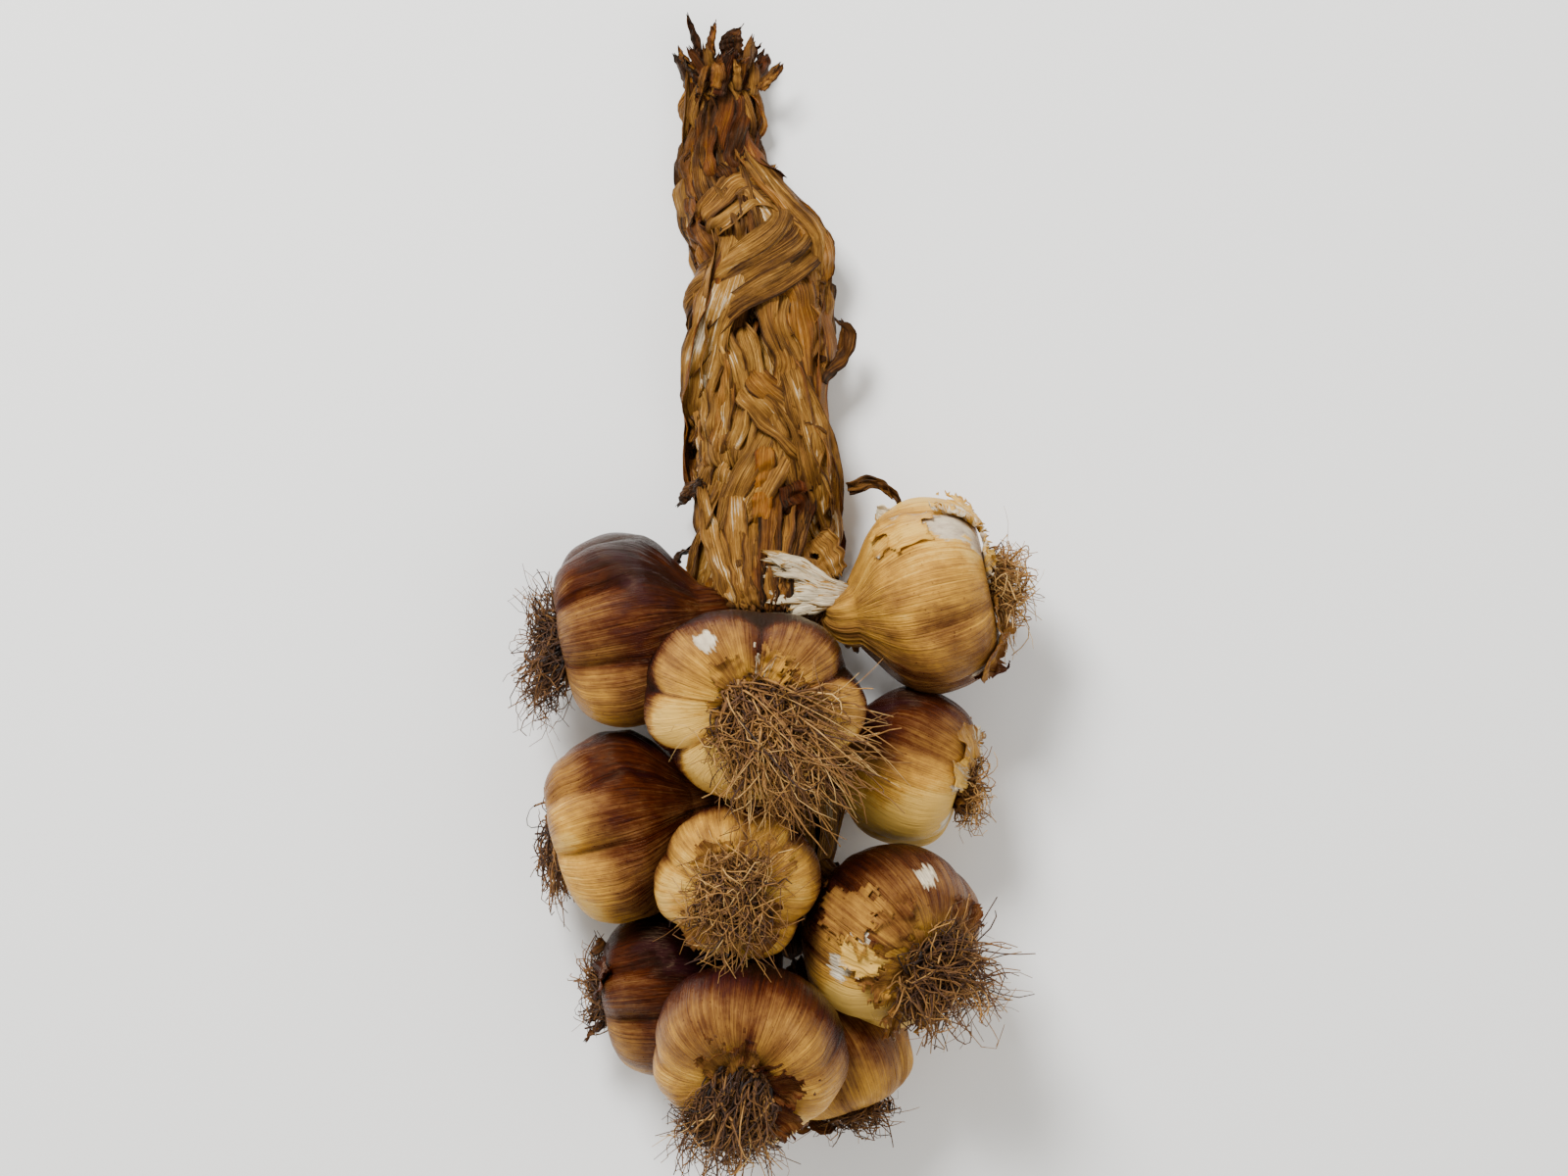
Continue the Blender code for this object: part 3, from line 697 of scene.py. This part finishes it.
def strand_points(which, y, angle, out=0.0, wide=1.0, flat=1.0):
    """Points on or above a strand at y and angle round it. out is the height above its surface, and
    flat spreads it sideways."""
    scale, middle = down(SCALE, y), down(MIDDLE, y)
    phase = TAU * ((FIRST_OVER - y) / REPEAT + which / 3 + START)
    u = np.cos(angle) * (scale * WIDE * wide * flat + out)
    v = np.sin(angle) * (scale * DEEP * wide + out)
    lean = LEAN * np.cos(phase)
    x = middle + scale * SWING * np.sin(phase) + u * np.cos(lean) - v * np.sin(lean)
    z = scale * (REST + LIFT * np.sin(2 * phase)) + u * np.sin(lean) + v * np.cos(lean)
    return together(x, y, z)


def strand_fit(which):
    """How the formula's strand is stretched and moved on to its solid."""
    y = np.linspace(TOP, END, 200)[:, None]
    raw = strand_points(which, y, np.linspace(0, TAU, 40)[None, :])
    raw[..., 2] = np.maximum(raw[..., 2], 0)
    return fit(raw, "strand_" + "abc"[which])[1:]


def folds(x):
    """A wave with straight flanks and sharp ridges."""
    return np.arcsin(np.sin(x)) / (math.pi / 2)


def ribbon(route, across, width, cols=11, ribs=3, fold=0.1, curl=-0.1, crumple=0.4, torn=2.5):
    """A dried leaf along route, an array of points: width is its half width at each row, and across
    the way it spreads, one for all rows or one for each. It is ribbed lengthwise, its edges curl by
    curl times the half width, it is folded down the middle by fold and crumpled by straight-sided
    folds that run at random slants, its edges waver, and its last end is torn by up to torn."""
    rows = len(route)
    t, c = np.linspace(0, 1, rows)[:, None], np.linspace(-1, 1, cols)[None, :]
    slope = unit(np.gradient(route, axis=0))
    across = unit(across - slope * np.sum(across * slope, -1, keepdims=True))
    normal = np.cross(slope, across)
    wave = 0
    for k in range(6):
        slant = TAU * (rng.uniform(0.5, 2 + k) * t + rng.uniform(-0.7, 0.7) * c)
        wave = wave + folds(slant + rng.uniform(0, TAU)) / (1 + 0.25 * k) / 1.9
    lift = width[:, None] * (curl * c ** 2 - fold * (1 - np.abs(c)))
    lift = lift + 0.2 * np.cos(ribs * math.pi * c) + crumple * wave
    waver = folds(TAU * (rng.uniform(2, 6) * t + rng.random() * np.sign(c)))
    spread = c * width[:, None] * (1 + 0.12 * waver)
    jag = torn * step(t, 0.8, 1.0) * rng.uniform(-1, 0.3, (1, cols))
    return (route[:, None] + spread[..., None] * across[:, None] + lift[..., None] * normal[:, None]
            + jag[..., None] * slope[:, None])


def leaf_ends(t, torn=0.12):
    """Share of a leaf's full width along it: drawn in towards both ends."""
    return np.sqrt(np.clip(np.minimum(t / torn, (1 - t) / torn), 0.02, 1))


def leaves(name, sheets, nodes=(), thick=0.25, hole=None):
    """One piece out of many leaves, each given as (points over a grid, tone, redness). A leaf has
    painted shade at its edges and ends, for the dark gaps between leaves. hole, a middle and a radius,
    leaves out the faces round it."""
    parts, first = [], 0
    for k, (shape, tone, red) in enumerate(sheets):
        rows, cols, _ = shape.shape
        c, t = np.linspace(-1, 1, cols)[None, :], np.linspace(0, 1, rows)[:, None]
        half = np.linalg.norm(shape[rows // 2, -1] - shape[rows // 2, 0]) / 2
        spine = shape[:, cols // 2]
        far = np.cumsum(np.linalg.norm(np.diff(spine, axis=0, prepend=spine[:1]), axis=-1))[:, None]
        # painted shade: darker at the leaf's edges and ends, where it meets and slips under the leaves around
        # it
        shade = tone - 0.26 * np.abs(c) ** 6 - 0.16 * (1 - step(np.minimum(t, 1 - t), 0, 0.1))
        grain = together(c * half, k * 7.3, far * 0.9)
        parts.append((shape.reshape(-1, 3), grid_faces(rows, cols, False) + first,
                      np.clip(shade, 0.03, 1.4).ravel(), np.full(rows * cols, np.clip(red, 0, 1)),
                      grain.reshape(-1, 3)))
        first += rows * cols
    points, faces, tones, reds, grains = (np.concatenate(part) for part in zip(*parts))
    if hole:
        faces = faces[np.linalg.norm(points[faces].mean(1) - hole[0], axis=-1) > hole[1]]
    points[:, 2] = np.maximum(points[:, 2], 0.16)
    piece = write_mesh(name, points, [faces], leaf, "leaf", nodes, tone=tones, red=reds, grain=grains)
    thicken(piece, thick)
    return piece


# the core's tone: inner leaf, darkened as painted shade for the gaps between the leaves
STRAND_LEAVES, CORE_LEAF_AND_SHADE_TONE, CORE_RED = 46, 0.32, 0.2
for which, letter in enumerate("abc"):
    stretch, move = strand_fit(which)
    rows, cols = 120, 28
    t = np.linspace(0, 1, rows)[:, None]
    angle = (np.arange(cols) / cols * TAU)[None, :]
    close = np.sqrt(np.clip(1 - (1 - np.clip(np.minimum(t, 1 - t) * 54, 0, 1)) ** 2, 0, 1))
    y = TOP + (END - TOP) * t
    core = strand_points(which, y, angle, 0.0, 0.86 * close * (1 - 0.1 * np.cos(7 * angle + y / 22)))
    core = core * stretch + move
    core[..., 2] = np.maximum(core[..., 2], 0)
    grain = together(angle * 6, which * 5, y * 0.4)
    write_mesh("core_" + letter, core, [grid_faces(rows, cols, True)], leaf, "leaf",
               ["strand_" + letter], tone=np.full(rows * cols, CORE_LEAF_AND_SHADE_TONE),
               red=np.full(rows * cols, CORE_RED), grain=grain.reshape(-1, 3))
    sheets = []
    for k in range(STRAND_LEAVES):
        start = rng.uniform(END + 40, TOP + 3)
        y = np.linspace(start, max(start - rng.uniform(35, 95), END + 2), 28)
        t = np.linspace(0, 1, 28)
        turn = rng.uniform(0, TAU) + rng.normal() * 0.008 * (y - start)
        half = rng.uniform(3.2, 7.2) * down(SCALE, y) * leaf_ends(t, 0.1)
        out = 0.15 + 1.3 * rng.random() + 2.2 * step(t, 0.86, 1.0) * rng.random()
        low, route, high = (strand_points(which, y, turn + d, out, flat=1.22) for d in (-0.1, 0, 0.1))
        shape = ribbon(route, high - low, half, 9, rng.integers(2, 5), rng.uniform(-0.1, 0.45),
                       rng.uniform(-0.3, 0.15), 1.45)
        tone = min(rng.normal(0.72, 0.12), 0.8)
        sheets.append((shape * stretch + move, tone, 0.8 if rng.random() < 0.18 else 0.1))
    leaves("leaves_" + letter, sheets)
    print("strand", letter, len(sheets), "leaves")

# %% [markdown]
# ## The leaves that cross over the plait
#
# What shows of a plait is mostly the leaves that pass over its front. Each band below is a few leaves side
# by side on the plait's envelope, an ellipse that holds all three strands: a route gives the angle round
# the envelope (0 at the right, 90 on top, 180 at the left) and the place along the plait. Torn corners that
# stand off its sides make the outline ragged.

# %% Bands of leaves

HALF_WIDTH, HALF_DEPTH = 18.2, 9.8  # of the envelope, where the plait has its full size


def on_plait(turn, y, out):
    """A point out above the envelope of the three strands, at turn degrees round it and at y."""
    scale, middle = down(SCALE, y), down(MIDDLE, y)
    a = np.radians(turn)
    x = middle + (scale * HALF_WIDTH + out) * np.cos(a)
    z = scale * (REST + HALF_DEPTH * np.sin(a)) + out * np.sin(a)
    return together(x, y, np.maximum(z, 0.4))


# route as (turn, y), breadth in mm, leaves, tone, redness, lift
BANDS = (
    (((95, 158), (88, 146), (98, 132), (92, 122)), 14, 3, 0.24, 0.9, 0.8),
    (((100, 142), (112, 124), (108, 108), (118, 96)), 12, 4, 0.28, 0.0, 0.3),
    (((78, 136), (82, 122), (92, 106), (100, 96)), 9, 3, 0.30, 0.0, 0.6),
    (((150, 158), (160, 142), (165, 126), (150, 110)), 8, 2, 0.40, 0.5, 0.2),
    (((35, 158), (30, 144), (38, 130), (60, 118)), 8, 2, 0.34, 0.6, 0.3),
    (((172, 134), (150, 147), (95, 156), (48, 149), (15, 134)), 6, 2, 0.54, 0.3, 1.6),
    (((172, 112), (150, 100), (128, 90), (120, 80)), 9, 2, 0.36, 0.2, 0.3),
    (((30, 104), (18, 92), (12, 78), (20, 60)), 9, 2, 0.50, 0.6, 0.2),
    (((60, 100), (38, 88), (28, 72), (30, 56), (45, 42)), 16, 2, 0.56, 1.0, 0.8),
    (((150, 76), (152, 62), (148, 48), (140, 34)), 14, 3, 0.62, 0.1, 0.5),
    (((125, 80), (108, 66), (110, 50), (122, 34)), 11, 3, 0.58, 0.2, 0.7),
    (((70, 94), (75, 80), (62, 66), (70, 54)), 8, 2, 0.62, 0.3, 0.6),
    (((108, 66), (82, 56), (52, 46), (22, 36), (0, 24)), 10, 2, 0.56, 0.3, 1.8),
    (((150, 106), (122, 112), (82, 120), (45, 118), (14, 108), (-15, 96)), 11, 2, 0.60, 0.2, 1.6),
    (((16, 117), (56, 104), (100, 93), (140, 84), (180, 73), (215, 62)), 17, 3, 0.46, 0.0, 2.4),
    (((12, 124), (4, 112), (0, 100)), 7, 1, 0.2, 0.6, 1.5),
    (((140, 44), (155, 30), (160, 14), (150, -4)), 13, 3, 0.60, 0.2, 0.5),
    (((20, 50), (30, 34), (22, 18), (25, 0)), 10, 2, 0.52, 0.5, 0.5),
    (((95, 12), (100, -6), (92, -24)), 20, 4, 0.42, 0.2, 0.2),
    (((75, 28), (52, 16), (38, 4), (30, -10)), 12, 4, 0.64, 0.1, 0.9),
    (((62, 52), (88, 34), (112, 16), (135, -4), (150, -20)), 12, 3, 0.48, 0.0, 1.8),
    (((82, 44), (90, 28), (99, 10)), 3.4, 1, 0.66, 1.0, 2.4),
    (((62, 32), (58, 26), (66, 20)), 6, 1, 0.16, 1.0, 2.2),
)
sheets = []
for keys, breadth, count, tone, red, lift in BANDS:
    for k in range(count):
        rows = 40
        t = np.linspace(0, 1, rows)
        turn, y = smooth_through(keys, np.clip(t * rng.uniform(0.9, 1) + rng.uniform(0, 0.06), 0, 1)).T
        scale = down(SCALE, y)
        a = np.radians(turn)
        per = np.hypot(scale * HALF_WIDTH * np.sin(a), scale * HALF_DEPTH * np.cos(a))
        go = unit(np.stack([np.gradient(a) * per, np.gradient(y)], -1))
        sway = 0.8 * np.sin(TAU * (t * rng.uniform(0.5, 1.5) + rng.random()))
        shift = breadth * ((k + 0.5) / count - 0.5) + sway
        out = lift + rng.uniform(0, 0.9) - (2 + lift) * (1 - step(np.minimum(t, 1 - t), 0.0, 0.14))
        low, route, high = (on_plait(turn - np.degrees(go[:, 1] * d / per), y + go[:, 0] * d, out)
                            for d in (shift - 0.5, shift, shift + 0.5))
        half = breadth / count * rng.uniform(0.6, 0.9) * leaf_ends(t, 0.12)
        shape = ribbon(route, high - low, half, 11, rng.integers(2, 5), rng.uniform(-0.1, 0.4),
                       rng.uniform(-0.3, 0.15), 1.5)
        sheets.append((shape, tone + 0.06 + rng.normal() * 0.07, red + rng.normal() * 0.15))
print(len(sheets), "crossing leaves")

# corners of leaves that stand off the plait, mostly along its two sides
CORNERS = 34
t = np.linspace(0, 1, 12)
for k in range(CORNERS):
    y = rng.uniform(-10, 156)
    right, left, front = rng.uniform(-15, 40), rng.uniform(140, 195), rng.uniform(40, 140)
    turn = rng.choice([right, left, front], p=(0.42, 0.42, 0.16))
    route = on_plait(turn + rng.uniform(-15, 15) * t, y + rng.uniform(-9, 9) * t,
                     0.2 + rng.uniform(1, 4.5) * t ** 1.5)
    half = rng.uniform(1.2, 3.0) * (1 - 0.75 * t)
    shape = ribbon(route, (0.3, 1, 0.2), half, 5, 1, 0.3, 0.3, 0.3, 1.0)
    sheets.append((shape, rng.uniform(0.2, 0.7), 0.5 * rng.random()))

# torn ends at the cut top, none higher than the top tip of the frame
TOP_ENDS, HIGHEST = 34, 172  # how many, and mm
t = np.linspace(0, 1, 14)
for k in range(TOP_ENDS):
    root_end = np.array((rng.uniform(-27, -9), rng.uniform(147, 154), rng.uniform(5, 17)))
    lean = rng.normal() * 3.5 + 0.25 * (root_end[0] + 18)
    tip = root_end + (lean, rng.uniform(7, 20) * rng.uniform(0.6, 1), rng.normal() * 2.5)
    tip[1] = min(tip[1], HIGHEST)
    route = smooth_through((root_end, (root_end + tip) / 2 + rng.normal(size=3) * 1.2, tip), t)
    half = rng.uniform(1.0, 2.8) * np.interp(t, (0, 0.3, 0.8, 1), (0.8, 1, 0.8, 0.3))
    way = (1, rng.normal() * 0.4, rng.normal() * 0.7)
    shape = ribbon(route, way, half, 7, 1, 0.4, 0.3, 0.5, 2.5)
    sheets.append((shape, rng.choice((0.14, 0.28, 0.45, 0.6)), rng.random()))
print(CORNERS, "leaf corners and", TOP_ENDS, "torn ends at the top")
leaves("crossing_leaves", sheets)

# %% [markdown]
# ## Frayed leaf at the right-hand necks
#
# The top right bulb was tied in late: its neck lies on the plait and ends in a fan of pale, frayed straw.
# A broad scrap hangs under the neck, and papery bits stick to the roots lower down. Each is a short ribbon
# through a few points.

# %% Frayed leaf

# pale straws that fan out over the neck
STRAWS, NECK_LEAVES = 30, 16
sheets, t = [], np.linspace(0, 1, 26)
for k in range(STRAWS):
    side, far = rng.uniform(-1, 1), rng.random()
    keys = ((25, -3 + 2 * side, 28), (15, -2 + 4 * side, 31 + rng.random()),
            (8 - 3 * far, 7.5 * side + rng.normal(), 32 + 2 * rng.random()),
            (3 - 9 * far, 9 * side + rng.normal() * 1.6, 32 + rng.normal() * 1.5))
    half = rng.uniform(0.8, 2.0) * np.interp(t, (0, 0.2, 0.85, 1), (0.5, 1, 1, 0.3))
    way = (rng.uniform(-0.2, 0.6), 1, rng.uniform(-0.5, 0.5))
    shape = ribbon(smooth_through(keys, t), way, half, 7, 1, 0.35, 0.2, 0.35, 1.5)
    sheets.append((shape, rng.uniform(1.0, 1.4), 0.0))

# browner leaves that run down the plait to the necks
for k in range(NECK_LEAVES):
    x = rng.uniform(-25, 10)
    keys = ((x, 28 + rng.normal() * 3, 19), (x * 0.75 - 2, 12, 28 + rng.random()),
            (x * 0.55 - 3, 1, 32.5 + rng.random()), (x * 0.45 - 2, -7, 34))
    half = rng.uniform(1.6, 3.8) * np.interp(t, (0, 0.2, 0.85, 1), (0.5, 1, 1, 0.6))
    way = (1, rng.normal() * 0.3, rng.normal() * 0.3)
    shape = ribbon(smooth_through(keys, t), way, half, 9, 3, 0.3, -0.1, 0.8, 2.0)
    sheets.append((shape, rng.normal(0.54, 0.13), 0.6 * rng.random()))

# papery bits: points in mm, half width, way across, tone, redness
BITS = (
    (((20, -4, 27), (21, -11, 28), (22, -19, 24)), 4.2, (1, 0.2, 0.3), 0.58, 0.2),
    (((16, -4, 28), (15, -10, 29), (17, -15, 27)), 2.6, (1, -0.4, 0.3), 0.7, 0.1),
    (((24, -6, 27), (25, -11, 28), (24, -15, 27)), 2.0, (1, -0.4, 0.3), 0.45, 0.3),
    (((29, 23, 31), (32, 21.5, 33), (35, 20, 34)), 2.6, (0.2, 1, 0.3), 1.2, 0.0),
    (((-52, -105, 27), (-54, -107, 27), (-56.5, -109, 25)), 2.0, (0.4, 1, 0.1), 0.35, 0.4),
    (((-52, -124, 20), (-55, -127, 20), (-57, -131, 18)), 2.2, (0.6, 1, 0.4), 0.28, 0.6),
    (((-53, -130, 20), (-56, -133, 19), (-58, -136, 20)), 1.8, (0.9, 1, 0.1), 0.4, 0.4),
    (((2, -158, 25), (6, -160, 27), (10, -160, 24)), 2.6, (0.1, 1, 0.3), 0.4, 0.4),
    (((9, -158, 24), (13, -161, 25), (17, -160, 22)), 2.2, (0.1, 1, -0.3), 0.3, 0.5),
    (((14, -84, 12), (17, -88, 18), (18, -94, 22)), 3.5, (1, 0.3, 0.3), 0.3, 0.2),
)
for keys, half, across, tone, red in BITS:
    t = np.linspace(0, 1, 18)
    width = half * np.interp(t, (0, 0.15, 0.6, 1), (0.5, 1, 0.9, 0.45))
    shape = ribbon(smooth_through(keys, t), across, width, 9, 2, 0.2, 0.25, 0.5, 2.0)
    sheets.append((shape, tone, red))
leaves("frayed_leaf", sheets)
print(len(sheets), "frayed leaves and bits")

# %% [markdown]
# ## Loose scraps of leaf
#
# The torn tips at the top of the plait and the few leaves that stick out of it are each a cluster of one to
# four ribbons, fitted to the box of its own solid. The broad flap by the top right bulb has a round hole.

# %% Loose scraps

# route, half width, way across, ribbons, tone, redness
SCRAPS = {
    "tip_far_left": (((-24, 156, 12), (-25, 164, 13), (-27.5, 173, 14)), 1.6, (1, 0.2, 0.5), 2, 0.15, 0.5),
    "tip_left": (((-25, 153, 12), (-28, 158, 13), (-30, 163, 14)), 1.5, (0.7, 0.4, 1), 3, 0.45, 0.3),
    "tip_middle": (((-21, 158, 13), (-20.5, 165, 14), (-19.5, 171, 14)), 1.6, (1, 0, 0.3), 2, 0.35, 1.0),
    "tip_cup": (((-14, 158, 10), (-14.5, 165, 11), (-12, 170, 12)), 2.0, (1, 0, 0.2), 4, 0.28, 0.6),
    "tip_right": (((-6, 150, 14), (-2, 154, 15), (1, 158, 15)), 1.6, (1, -0.6, 0), 4, 0.55, 0.5),
    "hooked_leaf": (((12, 62, 15), (19, 69, 14), (20, 77, 15), (16.5, 81, 17)),
                    2.6, (1, -0.3, 0.6), 2, 0.22, 0.2),
    "curled_leaf": (((6, 48, 24), (12, 45, 22), (15, 40, 17)), 2.4, (0.3, 1, 0.1), 2, 0.5, 0.2),
    "corner_leaf": (((-23, 31, 19), (-28, 28, 14), (-31, 25, 9)), 2.4, (0.2, 1, 0.1), 3, 0.4, 0.2),
    "dark_tip": (((-24, 13, 15), (-30, 9, 12), (-31, 3, 11)), 2.0, (0.4, 0.2, 1), 2, 0.2, 0.2),
    "brown_flap": (((9, 16, 23), (14, 9, 27), (18, 1, 27)), 8.0, (1, 0.3, -0.2), 1, 0.80, 0.15),
    "stem_scrap": (((22, 30, 29), (29, 32, 31), (35, 29, 31), (37, 24, 30)),
                   2.0, (0.2, 1, 0.5), 2, 0.35, 0.2),
}
for name, (route, half, across, count, tone, red) in SCRAPS.items():
    broad, t = half > 5, np.linspace(0, 1, 36)
    sheets = []
    for k in range(count):
        keys = np.array(route, float) + (k > 0) * rng.uniform(-0.6, 0.6, (len(route), 3)) * half
        shares = (0.7, 1, 0.75, 0.5 if broad else 0.12)
        width = half * rng.uniform(0.7, 1) * np.interp(t, (0, 0.2, 0.7, 1), shares)
        way = np.array(across) + (k > 0) * rng.uniform(-0.5, 0.5, 3)
        reach = 1 if k == 0 else rng.uniform(0.6, 0.95)
        cols = 25 if broad else 9
        shape = ribbon(smooth_through(keys, t * reach), way, width, cols, 3, 0.35, 0.3, 0.7, 3.0)
        sheets.append((shape, tone + 0.1 * rng.normal(), red))
    grids = [sheet[0] for sheet in sheets]
    whole = fit(np.concatenate([grid.reshape(-1, 3) for grid in grids]), name)[0]
    cuts = np.cumsum([grid.shape[0] * grid.shape[1] for grid in grids])[:-1]
    parts = np.split(whole, cuts)
    sheets = [(part.reshape(sheet[0].shape), *sheet[1:]) for part, sheet in zip(parts, sheets)]
    middle = sheets[0][0][12, 8] if broad else None
    leaves(name + "_leaf", sheets, [name], 0.3, (middle, 1.5) if broad else None)
print(len(SCRAPS), "scraps;", sum(n for _, n in made), "triangles in all;", max(made, key=lambda m: m[1]))

# %% [markdown]
# ## Floor, light and camera
#
# The braid lies on its back on a pale floor, and the camera looks straight down on it with the plait at
# the top of the picture. The light is soft: a pale sky, a wide lamp above and to the left, and a weaker one
# opposite.

# %% Stage


# place in metres, width in metres, power in watts
LAMPS = {
    "key": ((-0.5, 0.9, 1.15), 0.5, 41.0),
    "fill": ((0.9, -0.5, 1.0), 1.0, 6.0),
}


def studio():
    """A pale floor just under the braid, a soft sky, and two square lamps that face the braid's middle."""
    mesh = bpy.data.meshes.new("floor")
    mesh.from_pydata([(-3, -3, 0), (3, -3, 0), (3, 3, 0), (-3, 3, 0)], [], [(0, 1, 2, 3)])
    floor = bpy.data.objects.new("floor", mesh)
    floor.location.z = -0.0005
    bpy.context.scene.collection.objects.link(floor)
    material, _, finish = new_material("pale floor")
    finish({"Base Color": linear("FAFAF8"), "Roughness": 0.9})
    mesh.materials.append(material)
    world = bpy.data.worlds.new("soft sky")
    bpy.context.scene.world = world
    world.use_nodes = True
    world.node_tree.nodes["Background"].inputs["Color"].default_value = linear("F8F5EF")
    world.node_tree.nodes["Background"].inputs["Strength"].default_value = 0.72
    for name, (place, size, power) in LAMPS.items():
        lamp = bpy.data.lights.new(name, "AREA")
        lamp.size, lamp.energy = size, power
        holder = bpy.data.objects.new(name, lamp)
        holder.location = place
        way = -np.array(place)
        tilt = math.acos(-way[2] / np.linalg.norm(way))
        holder.rotation_euler = (tilt, 0, math.atan2(way[1], way[0]) - math.pi / 2)
        bpy.context.scene.collection.objects.link(holder)


def camera():
    """A camera straight above the middle of the braid, framing 464 by 348 mm at the bulbs' height."""
    data = bpy.data.cameras.new("camera")
    away, framed, sensor = 1.25, 0.464, 36
    data.sensor_width = sensor
    data.lens = sensor * away / framed
    holder = bpy.data.objects.new("camera", data)
    holder.location = (0.0014, 0.0, 0.034 + away)
    bpy.context.scene.collection.objects.link(holder)
    bpy.context.scene.camera = holder


studio()
camera()
print("floor, sky,", len(LAMPS), "lamps and a camera")
